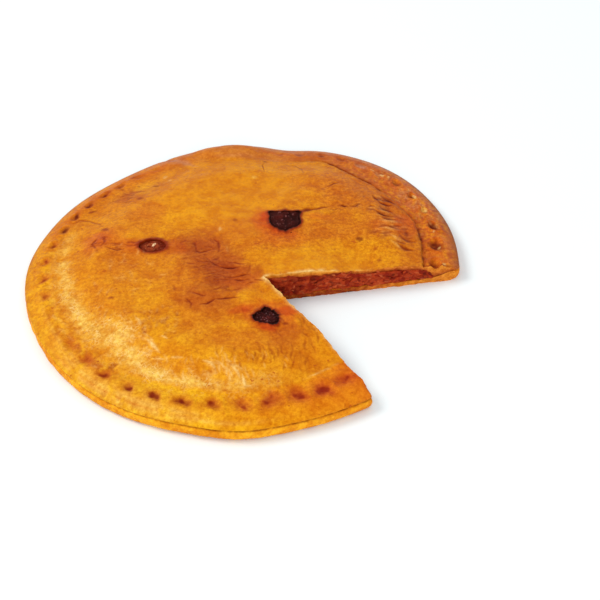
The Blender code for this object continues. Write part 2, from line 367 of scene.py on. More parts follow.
# Colours as they are seen, red, green and blue from 0 to 255
GOLD = (227, 138, 14)
YELLOW = (238, 157, 20)
PALE = (248, 194, 84)
CREAM = (252, 208, 128)
TAN = (218, 134, 20)
AMBER = (212, 112, 22)
ORANGE = (216, 98, 22)
RED_ORANGE = (204, 70, 20)
BROWN = (184, 80, 22)
RED_BROWN = (152, 48, 14)
DARK_BROWN = (122, 36, 10)
MAUVE = (202, 130, 92)
# The painted light on the base's side band
BAND_PAINTED_LIGHT = (255, 168, 26)
SEAM_BROWN = (168, 84, 14)
# The colour of the painted shade on the flange's outer edge
RIM_SHADE = (150, 84, 40)
CHAR = (44, 14, 12)
FILLING_DARK = (140, 30, 12)
FILLING_RED = (184, 64, 26)
FILLING_PINK = (208, 104, 58)

# What the crust's fine speckle multiplies its colour by, where it is darkest and lightest
SPECK_DARK = (0.75, 0.59, 0.37)
SPECK_LIGHT = (1.19, 1.34, 1.66)

# The flange's colour by direction, in degrees: its browning, with painted light and shade, lighter
# on the left and front and darker on the right and far side
RIM_TONES = (
    (-10, (220, 114, 26)),
    (10, (226, 116, 28)),
    (35, (222, 112, 32)),
    (60, (216, 114, 38)),
    (85, (212, 124, 40)),
    (110, (216, 126, 34)),
    (130, (222, 128, 20)),
    (160, (226, 136, 16)),
    (185, (235, 157, 14)),
    (215, (243, 173, 20)),
    (240, (244, 178, 32)),
    (262, (243, 172, 16)),
    (280, (239, 158, 14)),
    (295, (236, 142, 16)),
    (306, (222, 106, 16)),
)

# The dough's colour in a cut, by its level in the sheet
DOUGH_TONES = (
    (0.0, (150, 56, 22)),
    (0.22, (214, 118, 38)),
    (0.6, (240, 154, 46)),
    (0.94, (255, 190, 88)),
)

# Patches on the dome: colour, middle, half length and half width in millimetres, turn in degrees,
# strength
PATCHES = (
    (YELLOW, (-58, 34), (36, 17), 20, 0.5),
    (YELLOW, (-20, 50), (46, 24), 0, 0.3),
    (YELLOW, (30, 84), (40, 16), 0, 0.2),
    (AMBER, (72, 66), (42, 26), -40, 0.8),
    (AMBER, (54, 24), (34, 13), 0, 0.6),
    (ORANGE, (45, 37), (9, 4), 0, 0.45),
    (BROWN, (98, 56), (9, 16), 30, 0.4),
    (RED_ORANGE, (105, 32), (8, 11), 0, 0.7),
    (YELLOW, (44, -6), (38, 12), 8, 0.5),
    (YELLOW, (84, 8), (14, 10), 0, 0.3),
    (ORANGE, (93, 28), (11, 8), 0, 0.4),
    (AMBER, (105, 12), (9, 22), 0, 0.5),
    (BROWN, (108, 18), (5, 16), 0, 0.15),
    (AMBER, (-2, 18), (30, 18), 10, 0.55),
    (AMBER, (-24, -34), (34, 34), -20, 0.6),
    (BROWN, (-38, 8), (16, 13), 0, 0.6),
    (BROWN, (-24, -4), (21, 16), -30, 0.7),
    (BROWN, (-10, -26), (18, 16), -20, 0.75),
    (RED_BROWN, (-17, -20), (11, 9), -20, 0.35),
    (RED_BROWN, (-14, -30), (12, 6), 0, 0.35),
    (RED_BROWN, (-24, -37), (9, 6), 0, 0.35),
    (BROWN, (-22, -48), (17, 13), -10, 0.6),
    (ORANGE, (-3, -30), (12, 12), 0, 0.3),
    (ORANGE, (-76, 4), (24, 8), 0, 0.9),
    (ORANGE, (-92, 14), (13, 13), 0, 0.7),
    (RED_ORANGE, (-96, 10), (9, 14), 0, 0.7),
    (RED_ORANGE, (-76, 7), (16, 7), 0, 0.55),
    (RED_ORANGE, (-46, 5), (8, 9), 0, 0.35),
    (AMBER, (-74, 32), (14, 12), 0, 0.55),
    (AMBER, (-90, -4), (12, 9), 0, 0.45),
    (AMBER, (-48, -5), (10, 8), 0, 0.45),
    (BROWN, (-78, 72), (16, 8), 40, 0.5),
    (AMBER, (-88, 62), (14, 12), 40, 0.4),
    (AMBER, (-74, -32), (22, 30), 0, 0.5),
    (TAN, (-40, -70), (34, 14), -20, 0.4),
    (YELLOW, (-34, -80), (66, 26), -6, 0.5),
    (YELLOW, (-84, -24), (30, 50), 10, 0.35),
    (AMBER, (-66, 45), (11, 9), 0, 0.65),
    (AMBER, (-80, -9), (14, 13), 0, 0.55),
    (YELLOW, (-59, -41), (13, 12), 0, 0.7),
    (AMBER, (-25, -60), (14, 24), 0, 0.45),
    (BROWN, (-28, -46), (13, 10), 0, 0.3),
    (YELLOW, (-42, -86), (12, 18), 0, 0.5),
    (YELLOW, (-86, -66), (12, 14), 0, 0.5),
    (YELLOW, (10, -108), (38, 10), 0, 0.45),
    (AMBER, (6, -80), (34, 11), 5, 0.5),
    (AMBER, (30, -86), (20, 12), -60, 0.35),
    (YELLOW, (-12, -96), (46, 9), -8, 0.5),
    (YELLOW, (2, -44), (7, 7), 0, 0.7),
    (YELLOW, (-73, 77), (7, 9), 0, 0.7),
    (ORANGE, (22, 12), (15, 8), 0, 0.5),
    (ORANGE, (9, 33), (7, 12), 0, 0.7),
    (RED_ORANGE, (11, 36), (4, 7), 0, 0.9),
    (ORANGE, (17, 21), (12, 6), -20, 0.6),
    (RED_ORANGE, (17, 23), (9, 3), -25, 0.6),
    (ORANGE, (13, -60), (17, 14), 0, 0.7),
    (RED_ORANGE, (-3, -56), (8, 4), 25, 0.55),
    (RED_ORANGE, (3, -54), (5, 3), 35, 0.5),
    (RED_ORANGE, (26, -56), (8, 3.5), 0, 0.7),
    (RED_ORANGE, (14, -70), (8, 4.5), 0, 0.8),
    (BROWN, (24, -79), (9, 11), 0, 0.25),
)

# The pale band on the shoulder, partly paler dough and partly a painted highlight where the light
# falls on it: direction, distance in from the outline and half width in millimetres, and strength
PALE_BAND = (
    (160, 19, 4, 0.0),
    (176, 20, 4.0, 0.5),
    (185, 24, 4.5, 0.65),
    (194, 26, 5.0, 0.8),
    (207, 27, 5.0, 1.0),
    (217, 30, 7.0, 1.0),
    (224, 34, 8.5, 1.0),
    (229, 34, 8.0, 1.0),
    (237, 29, 6.0, 0.9),
    (246, 26, 4.5, 0.9),
    (258, 27, 4.5, 0.7),
    (272, 29, 6.0, 0.4),
    (286, 30, 7.0, 0.0),
)

# Raised places: middle, half length and half width, turn in degrees, height in millimetres
RAISES = (
    ((-66, 118), (9, 3.5), 25, 0.6),
    ((2, -45), (9, 7), 0, 0.5),
    ((-97, 8), (8, 10), 0, 0.5),
    ((98, 58), (5, 15), 30, 0.7),
)

# Dark wrinkles: places in millimetres, half width, depth, darkness
DARK_LINES = (
    (((-34, 10), (-33, 5), (-32, 0), (-29, -1), (-24, 1), (-20, 2)), 1.1, 0.6, 0.7),
    (((-35, 11), (-33, 5)), 1.5, 0.4, 0.7),
    (((-22, 12), (-19, 9), (-18, 4), (-18, -3)), 0.9, 0.5, 0.7),
    (((-26, -6), (-22, -11), (-19, -14), (-16, -16)), 1.0, 0.7, 0.8),
    (((-17, -16), (-12, -17), (-8, -17), (-4, -16)), 1.2, 0.8, 1.0),
    (((-13, -11), (-8, -12), (-4, -13.5), (1, -13)), 0.7, 0.4, 0.7),
    (((-5, -9), (0, -9)), 0.5, 0.3, 0.5),
    (((2.6, -10), (2.4, -15), (2, -20), (0, -24)), 0.7, 0.3, 0.45),
    (((-7, -25.5), (-4, -25), (-0.5, -23.5), (3, -24)), 0.8, 0.5, 0.8),
    (((-8, -27.5), (-4, -29), (1, -28.3)), 0.8, 0.5, 0.8),
    (((5, -28.3), (12, -29.1)), 0.6, 0.3, 0.8),
    (((-33, -39.5), (-30, -41.5), (-26.5, -43.2), (-23.5, -44.5)), 0.8, 0.5, 0.7),
    (((-26, -50.8), (-22.5, -50.5), (-20, -48.5), (-17.5, -46.2)), 1.1, 0.6, 0.9),
    (((-18, -46.3), (-14, -46.2), (-10, -45.4), (-2, -45)), 0.9, 0.6, 0.85),
    (((-36, -44.5), (-33.5, -48.5), (-31.7, -51), (-32, -55)), 0.8, 0.3, 0.6),
    (((-44.5, -32), (-43, -37), (-42, -41)), 0.9, 0.3, 0.4),
    (((83, 65), (85, 61), (87, 60.4), (91, 61)), 1.6, 0.8, 1.0),
    (((86, 58), (89, 56), (92, 55), (96, 55)), 1.5, 0.9, 1.0),
    (((89, 66.5), (92, 62), (95, 60), (98, 57)), 1.9, 0.9, 1.0),
    (((86, 51.5), (91, 49.5), (96, 46.5)), 1.7, 0.8, 0.9),
    (((84, 46), (87, 43), (90, 42), (95, 41.5)), 1.8, 1.0, 1.0),
    (((87, 39), (91.5, 38), (98, 39)), 1.7, 0.8, 0.8),
    (((89.5, 29.5), (95, 30.5), (100, 32)), 1.6, 0.7, 0.7),
    (((98, 24), (101.5, 19), (104, 17.4), (109, 16.5)), 2.0, 1.0, 0.75),
    (((97, 12.5), (100, 9), (102.6, 8), (107, 8)), 1.8, 0.9, 0.75),
    (((103, 29), (104, 21)), 1.8, 0.7, 0.65),
    (((96, 17), (99, 14), (103, 13)), 0.8, 0.5, 0.6),
    (((34, 42), (38, 43.7), (43, 44.8)), 2.0, 0.5, 0.9),
    (((40, 44.7), (44.5, 45.2), (48.4, 47.3), (54, 48)), 1.2, 0.5, 0.8),
    (((53, 46), (57, 45), (60.5, 48.5)), 0.6, 0.4, 0.6),
    (((60, 51), (63, 49.2), (66, 48.5)), 1.1, 0.6, 1.0),
    (((66, 48.2), (70.5, 49), (73, 51.6), (76, 52)), 0.8, 0.5, 0.9),
    (((67.5, 48), (70, 50.5), (73.5, 51.5)), 0.6, 0.4, 0.6),
    (((53, 71), (56.7, 75), (62, 77)), 0.8, 0.4, 0.8),
    (((44, 67.6), (49.7, 69.3), (53.6, 70.5)), 0.7, 0.3, 0.5),
    (((79, 48), (81.5, 50.3), (84, 50)), 0.8, 0.5, 0.6),
    (((8.5, 109), (7, 103), (8, 97), (9, 90)), 0.6, 0.4, 0.6),
    (((22, 106), (30, 104), (35, 97), (36, 88)), 0.7, 0.4, 0.45),
    (((-78, 3), (-83, 1.5), (-91, 4.5)), 0.8, 0.5, 0.8),
    (((-65, 5), (-74, 6), (-84, 8)), 0.8, 0.3, 0.5),
    (((-97, 17), (-100, 9), (-96, 2)), 1.1, 0.3, 0.7),
    (((-92, 15), (-92, 9), (-95, 3)), 1.0, 0.3, 0.6),
    (((-119.5, 37), (-113.5, 42), (-106.5, 40), (-99, 34), (-93.5, 25.5)), 0.9, 0.4, 0.5),
    (((-120, 33), (-122, 24), (-122, 16)), 0.7, 0.2, 0.3),
)
# Mauve folds of the flange, the first of them a painted shadow under the raised flap: places in
# millimetres, half width, depth, strength
MAUVE_LINES = (
    # A painted shadow under the raised flap
    (((-76, 122), (-64, 119), (-51, 112.5), (-40, 105)), 3.2, 0.7, 1.0),
    (((-28, 118), (-4, 118), (18, 112)), 2.4, 0.3, 0.35),
    (((20, 128), (34, 123), (48, 120)), 2.2, 0.4, 0.6),
    (((96, 84), (106, 66), (112, 50)), 3.0, 0.3, 0.3),
)

# Pale streaks and ridges, one of them a painted highlight: places in millimetres, half width,
# height, paleness
PALE_LINES = (
    (((-56, -80), (-53, -83), (-50, -87), (-47, -90.5)), 1.1, 0.4, 1.0),
    (((-62, -66), (-60, -70)), 1.2, 0.2, 0.8),
    (((-51, -94), (-44, -95)), 0.8, 0.2, 0.8),
    (((-41, -94), (-33, -95)), 0.8, 0.2, 0.7),
    (((-22, -97), (-17, -99), (-14, -104)), 1.1, 0.3, 0.9),
    (((-15, -97), (-11, -100), (-8, -105)), 0.8, 0.2, 0.6),
    (((-6, -101), (-2, -105), (0, -110)), 0.9, 0.3, 0.8),
    (((1, -107), (3, -116)), 1.0, 0.3, 0.9),
    (((1, -115), (8, -114)), 0.7, 0.2, 0.7),
    (((35, -108), (41, -105), (47, -101), (56, -95)), 0.5, 0.3, 0.5),
    (((86, 62), (90, 58.5)), 0.8, 0.4, 0.3),
    (((85, 48.5), (90, 45.8), (96, 44.2)), 1.1, 0.5, 0.35),
    (((84, 41), (88, 41)), 0.9, 0.4, 0.3),
    (((86, 34.5), (93, 35), (101, 36)), 1.3, 0.5, 0.35),
    (((86, 27), (93, 26.5), (100, 27.5)), 1.2, 0.4, 0.35),
    (((91, 21), (96, 18), (100, 14)), 1.1, 0.4, 0.3),
    (((92, 15), (96, 11), (99, 6)), 1.1, 0.4, 0.3),
    # A painted highlight on the dome
    (((-18.5, 24.5), (-18.5, 20)), 1.1, 0.2, 0.6),
    (((-13, 3), (-12, -4)), 0.7, 0.2, 0.2),
)

# Freckles, and painted highlights beside the right flange's dimples: colour, middle, half length
# and half width, turn in degrees, strength
FRECKLES_AND_HIGHLIGHTS = (
    (DARK_BROWN, (72, 15), (2.6, 2.0), 0, 0.7),
    (RED_BROWN, (84, -4), (1.6, 1.4), 0, 0.7),
    (BROWN, (82, 7), (1.8, 1.4), 60, 0.6),
    (BROWN, (54, 8), (1.4, 1.1), 0, 0.5),
    (RED_BROWN, (25, -67), (1.8, 1.2), 0, 0.7),
    (DARK_BROWN, (-66, 78), (2.6, 1.2), -30, 0.6),
    (RED_BROWN, (-75, 62), (2.6, 1.8), -40, 0.7),
    (BROWN, (-80, 73), (4.5, 1.3), 20, 0.7),
    (RED_BROWN, (-9, 31.5), (1.8, 1.6), 0, 0.7),
    (RED_BROWN, (-12, -36), (2.2, 1.6), 0, 0.7),
    (RED_BROWN, (-39, 11), (3.0, 2.0), 0, 0.4),
    (RED_BROWN, (-81, -44), (1.8, 1.4), 0, 0.7),
    (BROWN, (-98, -34), (1.6, 1.2), 0, 0.6),
    (RED_BROWN, (-93.5, 24.5), (2.4, 2.0), -20, 0.8),
    (RED_BROWN, (-74, -97), (3.0, 1.6), 20, 0.6),
    (RED_BROWN, (-107, 51), (2.6, 1.5), 30, 0.8),
    (BROWN, (-113, 41), (5.0, 1.6), 20, 0.5),
    (BROWN, (-98, 75), (3.0, 1.4), 40, 0.6),
    (RED_BROWN, (-84, 93), (2.6, 1.2), 40, 0.6),
    (BROWN, (-62, 116), (5.0, 2.0), -10, 0.6),
    (DARK_BROWN, (8.5, 110), (1.4, 1.2), 0, 0.7),
    (CREAM, (-61, 91), (1.4, 2.2), 0, 0.4),
    (CREAM, (-57, 85), (1.2, 1.4), 0, 0.35),
    (PALE, (2, 84), (2.0, 1.6), 0, 0.5),
    # Painted highlights on the lips of the right flange's dimples
    (CREAM, (91, 95.5), (2.2, 1.0), -50, 0.8),
    (CREAM, (96, 93), (1.6, 0.8), -50, 0.6),
    (CREAM, (112.5, 70), (2.0, 0.9), -60, 0.8),
    (PALE, (118, 55), (3.2, 2.0), -60, 0.5),
    (CREAM, (119, 54), (1.6, 0.8), -60, 0.6),
    (CREAM, (85, 101), (1.6, 0.8), -40, 0.5),
    (CREAM, (122, 30), (1.2, 0.8), 60, 0.6),
    (CREAM, (124, 14), (1.6, 1.0), 70, 0.7),
    (CREAM, (125.5, -4), (1.6, 1.0), 80, 0.7),
    (MAUVE, (77, 106), (5.0, 2.6), -40, 0.6),
)

# Smudges on the flange: colour, middle direction and half width in degrees, distance in and
# half width in millimetres, strength
SMUDGES = (
    (YELLOW, 212, 16, 9, 5.0, 0.6),
    (ORANGE, 226, 12, 15, 5.0, 0.6),
    (BROWN, 219, 5, 15, 3.5, 0.6),
    (BROWN, 229, 4, 15, 4.0, 0.5),
    (PALE, 244, 13, 6, 5.0, 0.6),
    (PALE, 236, 16, 3, 1.2, 0.9),
    (PALE, 248, 12, 6.5, 1.1, 0.95),
    (PALE, 228, 12, 6, 1.1, 0.9),
    (PALE, 262, 12, 4, 1.0, 0.7),
    (PALE, 216, 14, 9, 1.2, 0.75),
    (ORANGE, 240, 18, 4.6, 0.6, 0.5),
    (ORANGE, 224, 14, 3, 0.8, 0.5),
    (PALE, 192, 16, 18, 3.0, 0.4),
    (YELLOW, 205, 30, 8, 4.0, 0.4),
    (MAUVE, 30, 46, 0, 5.5, 1.0),
    (MAUVE, 60, 16, 12, 5.0, 0.35),
    (MAUVE, 88, 18, 3, 4.5, 0.7),
    (RED_ORANGE, 78, 12, 12, 2.5, 0.45),
    (MAUVE, 119, 5, 5, 5.0, 0.7),
    (ORANGE, 122, 14, 12, 5.0, 0.5),
    (ORANGE, 150, 18, 9, 4.0, 0.4),
    (ORANGE, 298, 8, 15, 5.0, 0.4),
    (BROWN, 63, 10, 13, 7.0, 0.45),
    (RED_ORANGE, 302, 5, 15, 5.0, 0.25),
)

# Groups of small wrinkles: name, middle, spread along and across, turn, heading and its
# variation in degrees, count, shortest and longest, half width, depth, darkness of the troughs,
# paleness of the crests
WRINKLES = (
    ("fan", (93, 34), (22, 10), 105, 5, 24, 26, (5, 11), 1.3, 0.6, 0.65, 0.15),
    ("centre", (-26, -6), (20, 14), -35, -8, 45, 30, (4, 9), 0.8, 0.3, 0.6, 0.05),
    ("centre low", (-14, -30), (16, 12), -10, 5, 30, 26, (4, 10), 0.8, 0.3, 0.6, 0.05),
    ("by left vent", (-82, 7), (18, 6), 0, 0, 20, 12, (5, 12), 0.7, 0.3, 0.6, 0.0),
    ("red patch", (-96, 9), (6, 9), 0, 60, 60, 14, (3, 6), 0.8, 0.3, 0.6, 0.0),
    ("front streaks", (16, -92), (32, 9), 6, 96, 22, 44, (5, 13), 0.8, 0.2, 0.45, 0.0),
    ("front lights", (-4, -98), (26, 9), 4, 100, 24, 26, (4, 9), 0.6, 0.18, 0.0, 0.35),
    ("near streaks", (34, -74), (16, 12), -40, 110, 20, 24, (5, 11), 0.8, 0.25, 0.45, 0.0),
    ("white left", (-62, -76), (16, 9), -45, -55, 35, 22, (3, 8), 0.7, 0.2, 0.0, 0.7),
    ("white front", (-12, -103), (30, 7), 0, -50, 35, 30, (3, 8), 0.7, 0.2, 0.0, 0.7),
    ("flange left", (-98, -72), (34, 6), -50, -50, 25, 12, (4, 9), 0.8, 0.15, 0.0, 0.3),
    ("right dome", (70, 56), (26, 18), 0, 20, 60, 34, (3, 8), 0.7, 0.2, 0.4, 0.1),
    ("right flange", (108, 66), (44, 8), -60, -60, 40, 46, (3, 7), 0.8, 0.25, 0.5, 0.3),
    ("top", (10, 74), (60, 20), 0, 10, 60, 26, (5, 12), 0.8, 0.12, 0.25, 0.1),
    ("dome left", (-84, -20), (24, 34), 0, 70, 70, 40, (3, 9), 0.7, 0.15, 0.3, 0.25),
    ("tan crackle", (-50, -68), (12, 12), 0, 60, 80, 34, (2, 5), 0.7, 0.12, 0.5, 0.25),
    ("upper left", (-84, 68), (16, 9), 40, 30, 60, 24, (3, 7), 0.8, 0.25, 0.6, 0.15),
)
WRINKLE_SEED = 5

# Kinds of shreds in the filling: share of all, half length, half width and half thickness in
# millimetres, colour
SHREDS = (
    (0.42, (2.4, 5.0), (1.0, 2.0), (0.5, 0.9), (172, 58, 24)),
    (0.26, (2.2, 4.6), (1.0, 2.0), (0.5, 0.9), (144, 34, 14)),
    (0.24, (2.0, 4.4), (0.7, 1.2), (0.4, 0.7), (192, 84, 46)),
    (0.02, (1.4, 2.6), (0.5, 0.9), (0.3, 0.5), (208, 112, 64)),
    (0.06, (1.6, 2.8), (0.6, 1.0), (0.3, 0.5), (178, 42, 16)),
)
SHREDS_PER_CUT = 240
# How far the shreds stay from the tip and from the outline
SHREDS_FROM_TIP = 1.5 * MM
SHREDS_FROM_OUTLINE = 21 * MM
SHRED_SEED = 17

# What fills each vent: how far its top lies under the lid's top, its two colours, and the colour of
# its painted glints
VENT_FILLS = {
    "far": (0.2 * MM, (46, 12, 12), (92, 30, 26), (170, 104, 104)),
    "near": (0.2 * MM, (46, 12, 14), (94, 32, 30), (176, 126, 132)),
    "left": (0.4 * MM, (118, 32, 14), (176, 80, 42), (226, 150, 100)),
}

# A vent's fill is wider than the vent, and this thick from its middle to its top
VENT_FILL_SPREAD = 1.4
VENT_FILL_THICK = 3.6 * MM
VENT_FILL_SEED = 81

# The piece of onion in the left vent: its middle, half sizes, turn and colour
ONION_AT = (-60 * MM, 7.5 * MM)
ONION_HALF = (1.9 * MM, 0.9 * MM, 0.6 * MM)
ONION_TURN = math.radians(60)
ONION_COLOUR = (250, 206, 160)

# The photograph's view: where the camera looks, its height angle, distance and lens
VIEW_TARGET = (33.6 * MM, -23.6 * MM, 0)
VIEW_ELEVATION = math.radians(41.07)
VIEW_DISTANCE = 0.7
VIEW_LENS = 66.45
SENSOR_WIDTH = 36

# The studio: the floor's half size and colour, and the surround's colour and strength
FLOOR_HALF = 4
FLOOR_COLOUR = (0.87, 0.92, 0.95)
SURROUND_COLOUR = (0.95, 0.985, 1.0)
SURROUND_STRENGTH = 0.78
# The lights: place, size across, power and colour
LIGHTS = {
    "key": ((-1.56, 0.28, 1.84), 1.2, 28, (1.0, 0.95, 0.87)),
    "fill": ((0.5, -2.6, 1.0), 1.6, 29, (1.0, 0.965, 0.9)),
}

# Edges that bend by more than this are shown sharp
SHARP_ANGLE = math.radians(50)


def smooth(value):
    """Runs from 0 to 1 with level ends."""
    share = np.clip(value, 0, 1)
    return share * share * (3 - 2 * share)


def hill(value):
    """1 at nothing, falling to 0 on both sides."""
    return np.exp(-value * value)


def along_slope(distance, slope):
    start, run = slope
    return (distance - start) / run


def turn_between(angle, middle):
    return (angle - middle + 180) % 360 - 180


def bump(angle, middle, width):
    """1 in the middle direction, falling to 0 on both sides."""
    return hill(turn_between(angle, middle) / width)


def sum_of_bumps(angle, bumps):
    """The sum of bumps, each given as a direction, a half width and a height."""
    return sum(height * bump(angle, middle, width) for middle, width, height in bumps)


def by_direction(angle, table, column=1):
    """A value that runs evenly between the directions that head the rows of a table."""
    first = table[0][0]
    directions = [row[0] for row in table] + [first + 360]
    values = [row[column] for row in table] + [table[0][column]]
    return np.interp((angle - first) % 360 + first, directions, values)


def direction_of(x, y):
    return np.degrees(np.arctan2(y, x))


def outline_radius(angle):
    return PIE_RADIUS + sum_of_bumps(angle, OUTLINE_SWELLS)


def edge_distance(x, y):
    """How far a place is in from the outline."""
    return outline_radius(direction_of(x, y)) - np.hypot(x, y)


def from_tip(distance, direction):
    x = CUT_TIP[0] + distance * np.cos(direction)
    y = CUT_TIP[1] + distance * np.sin(direction)
    return x, y


def reach_from_tip(direction):
    """Distance from the gap's tip to the outline."""
    reach = np.full_like(direction, PIE_RADIUS)
    for _ in range(OUTLINE_ROUNDS):
        reach = reach + edge_distance(*from_tip(reach, direction))
    return reach


def noise_at(x, y, z, size, seed, octaves=1):
    """Smooth noise from about -1 to 1, with features of a size in metres."""
    shift = Vector((seed * 7.31, seed * -3.17, seed * 5.53))
    places = zip(np.ravel(x) / size, np.ravel(y) / size, np.ravel(z) / size)
    if octaves == 1:
        values = [noise.noise(Vector(place) + shift) for place in places]
    else:
        values = [noise.fractal(Vector(place) + shift, 0.9, 2.0, octaves) for place in places]
    return np.array(values)


def lumps(x, y):
    """The lid's slow unevenness over the filling, with its sag beside the far cut."""
    waves = sum(
        rise * np.sin(x / run_x + shift_x) * np.sin(y / run_y + shift_y)
        for rise, run_x, run_y, shift_x, shift_y in LUMPS
    )
    away = np.hypot(x - SAG_AT[0], y - SAG_AT[1]) / SAG_RADIUS
    return waves - SAG_DEPTH * hill(away)


def base_top(inward):
    rim_share = 1 - smooth(along_slope(inward, RIM_SLOPE))
    return BASE_THICK + (RIM_HEIGHT - BASE_THICK) * rim_share


def lid_top(x, y, inward):
    """The lid's upper face without its fine relief."""
    flange = np.clip(along_slope(inward, FLANGE_SLOPE), 0, 1)
    middle, width, wider = WIDE_FLANGE
    dome_inward = inward - wider * bump(direction_of(x, y), middle, width)
    height = RIM_HEIGHT + SEAM_RISE + FLANGE_RISE * np.sin(flange * math.pi / 2)
    height = height + DOME_RISE * smooth(along_slope(dome_inward, DOME_SLOPE))
    height = height + CROWN_RISE * smooth(along_slope(inward, CROWN_SLOPE))
    fold = patch_mask(x, y, *FOLD_PLACE, 0) * smooth(along_slope(inward, FOLD_SLOPE))
    return height + lumps(x, y) * smooth(along_slope(inward, LUMP_SLOPE)) + FOLD_RISE * fold


def cut_offsets(x, y, direction):
    """Distance from the tip along a cut, and distance from the cut to its side."""
    off_x, off_y = x - CUT_TIP[0], y - CUT_TIP[1]
    along = off_x * math.cos(direction) + off_y * math.sin(direction)
    across = off_y * math.cos(direction) - off_x * math.sin(direction)
    return along, across


def lid_thickness(x, y):
    """The lid's thickness, which changes along the far cut."""
    along, across = cut_offsets(x, y, FAR_CUT)
    places = [place * MM for place, _ in FAR_EDGE_THICK]
    at_cut = np.interp(along, places, [thick * MM for _, thick in FAR_EDGE_THICK])
    return LID_THICK + (at_cut - LID_THICK) * hill(across / (7 * MM)) * (along > -5 * MM)


def lid_under(x, y, inward):
    lift = smooth(along_slope(inward, CLOSING_SLOPE))
    on_rim = base_top(inward)
    return on_rim + (lid_top(x, y, inward) - lid_thickness(x, y) - on_rim) * lift


def lid_top_at(place):
    """The height of the lid's upper face at one place."""
    x, y = np.array([place[0]]), np.array([place[1]])
    return float(lid_top(x, y, edge_distance(x, y))[0])


def vent_reach(across, along, vent):
    """How far out the vent's ragged edge is in a direction, as a share of its oval."""
    (middle_x, middle_y), _, straight, ragged = vent
    far = np.maximum(np.hypot(across, along), TINY)
    around = across / far, along / far, np.full_like(far, middle_x / MM + middle_y / MM)
    uneven = 1.5 * noise_at(*around, 0.62, 1) + 0.5 * noise_at(*around, 0.24, 2, octaves=3)
    oval = 1 + ragged * uneven
    straight = straight * (1 + 0.25 * ragged * noise_at(*around, 0.1, 3))
    level = np.where(along > 0, straight * far / np.maximum(along, TINY), 9.0)
    return np.minimum(oval, level)


def vent_edge(x, y):
    """Distance outside the nearest vent's edge, negative inside it."""
    nearest = np.full_like(x, 1.0)
    for vent in VENTS.values():
        (middle_x, middle_y), (half_width, half_length), _, _ = vent
        across = (x - middle_x) / half_width
        along = (y - middle_y) / half_length
        close = np.hypot(across, along) < 2.5
        across, along = across[close], along[close]
        away = np.hypot(across, along) - vent_reach(across, along, vent)
        nearest[close] = np.minimum(nearest[close], away * min(half_width, half_length))
    return nearest


def dimple_places():
    """The middle and direction of each dimple, stepped by hand round the flange."""
    places = []
    for step in range(round(360 / DIMPLE_PITCH)):
        angle = step * DIMPLE_PITCH + DIMPLE_START
        angle += float(sum_of_bumps(angle, DIMPLE_DRIFTS))
        radius = float(outline_radius(angle)) - DIMPLE_ROW - float(sum_of_bumps(angle, ROW_SHIFTS))
        x = radius * math.cos(math.radians(angle))
        y = radius * math.sin(math.radians(angle))
        direction = math.degrees(math.atan2(y - CUT_TIP[1], x - CUT_TIP[0])) % 360
        near = math.degrees(NEAR_CUT) - DIMPLE_FROM_CUT
        if math.degrees(FAR_CUT) + DIMPLE_FROM_CUT < direction < near:
            places.append((x, y, angle))
    return places


class Dimple:
    """One dimple's place, size and looks, which change with its direction."""

    def __init__(self, draw, x, y, angle):
        kind = [float(by_direction(angle, DIMPLE_KINDS, column)) for column in range(1, 8)]
        deep, length, width, self.burnt = kind[:4]
        self.colour = kind[4:]
        size = draw.uniform(0.88, 1.12)
        self.x, self.y = x, y
        self.turn = math.radians(angle)
        self.half_length, self.half_width = length * size * MM, width * size * MM
        self.depth = deep * draw.uniform(0.8, 1.1) * MM
        self.slant = draw.uniform(-0.35, 0.35)
        self.bow = draw.uniform(0.1, 0.5)
        self.light_at = draw.uniform(-0.45, 0.45)
        self.light = draw.uniform(0.1, 0.4)

    def offsets(self, x, y):
        """Shares of the half width inwards and of the half length along the row."""
        off_x, off_y = x - self.x, y - self.y
        inwards = -(off_x * math.cos(self.turn) + off_y * math.sin(self.turn)) / self.half_width
        along = (off_y * math.cos(self.turn) - off_x * math.sin(self.turn)) / self.half_length
        return inwards + self.slant * along + self.bow * (along * along - 0.4), along


def dimple_field(x, y, uneven):
    """Depth of the dimples, how dark each is burnt and in which colour, and the warm halo round
    it. uneven breaks their edges."""
    draw = random.Random(DIMPLE_SEED)
    depth = np.zeros_like(x)
    burnt = np.zeros_like(x)
    halo = np.zeros_like(x)
    colours = np.zeros((len(x), 3))
    uneven = np.clip(uneven, -0.45, 1)
    for place in dimple_places():
        dimple = Dimple(draw, *place)
        close = np.hypot(x - dimple.x, y - dimple.y) < DIMPLE_REACH
        inwards, along = dimple.offsets(x[close], y[close])
        away = np.hypot(inwards, along)
        lip = 0.25 * hill((away - 1.55) / 0.35)
        depth[close] += dimple.depth * (np.exp(-(away**3)) - lip)
        light = hill((along - dimple.light_at) / 0.35) * hill((inwards - 0.45) / 0.4)
        dark = np.exp(-((away / (1.0 + 0.4 * uneven[close])) ** 3)) * (1 - dimple.light * light)
        dark = dimple.burnt * dark * (0.92 + 0.45 * uneven[close])
        darker = dark > burnt[close]
        colours[close] = np.where(darker[:, None], reflected(dimple.colour), colours[close])
        burnt[close] = np.maximum(burnt[close], dark)
        halo[close] = np.maximum(halo[close], dimple.burnt * hill(away / 2.1))
    return depth, burnt, halo, colours


def segment_distance(x, y, start, end):
    """Distance to a straight stretch, and the share of it that is passed."""
    run = np.subtract(end, start)
    share = np.clip(((x - start[0]) * run[0] + (y - start[1]) * run[1]) / (run @ run), 0, 1)
    away = np.hypot(x - start[0] - share * run[0], y - start[1] - share * run[1])
    return away, share


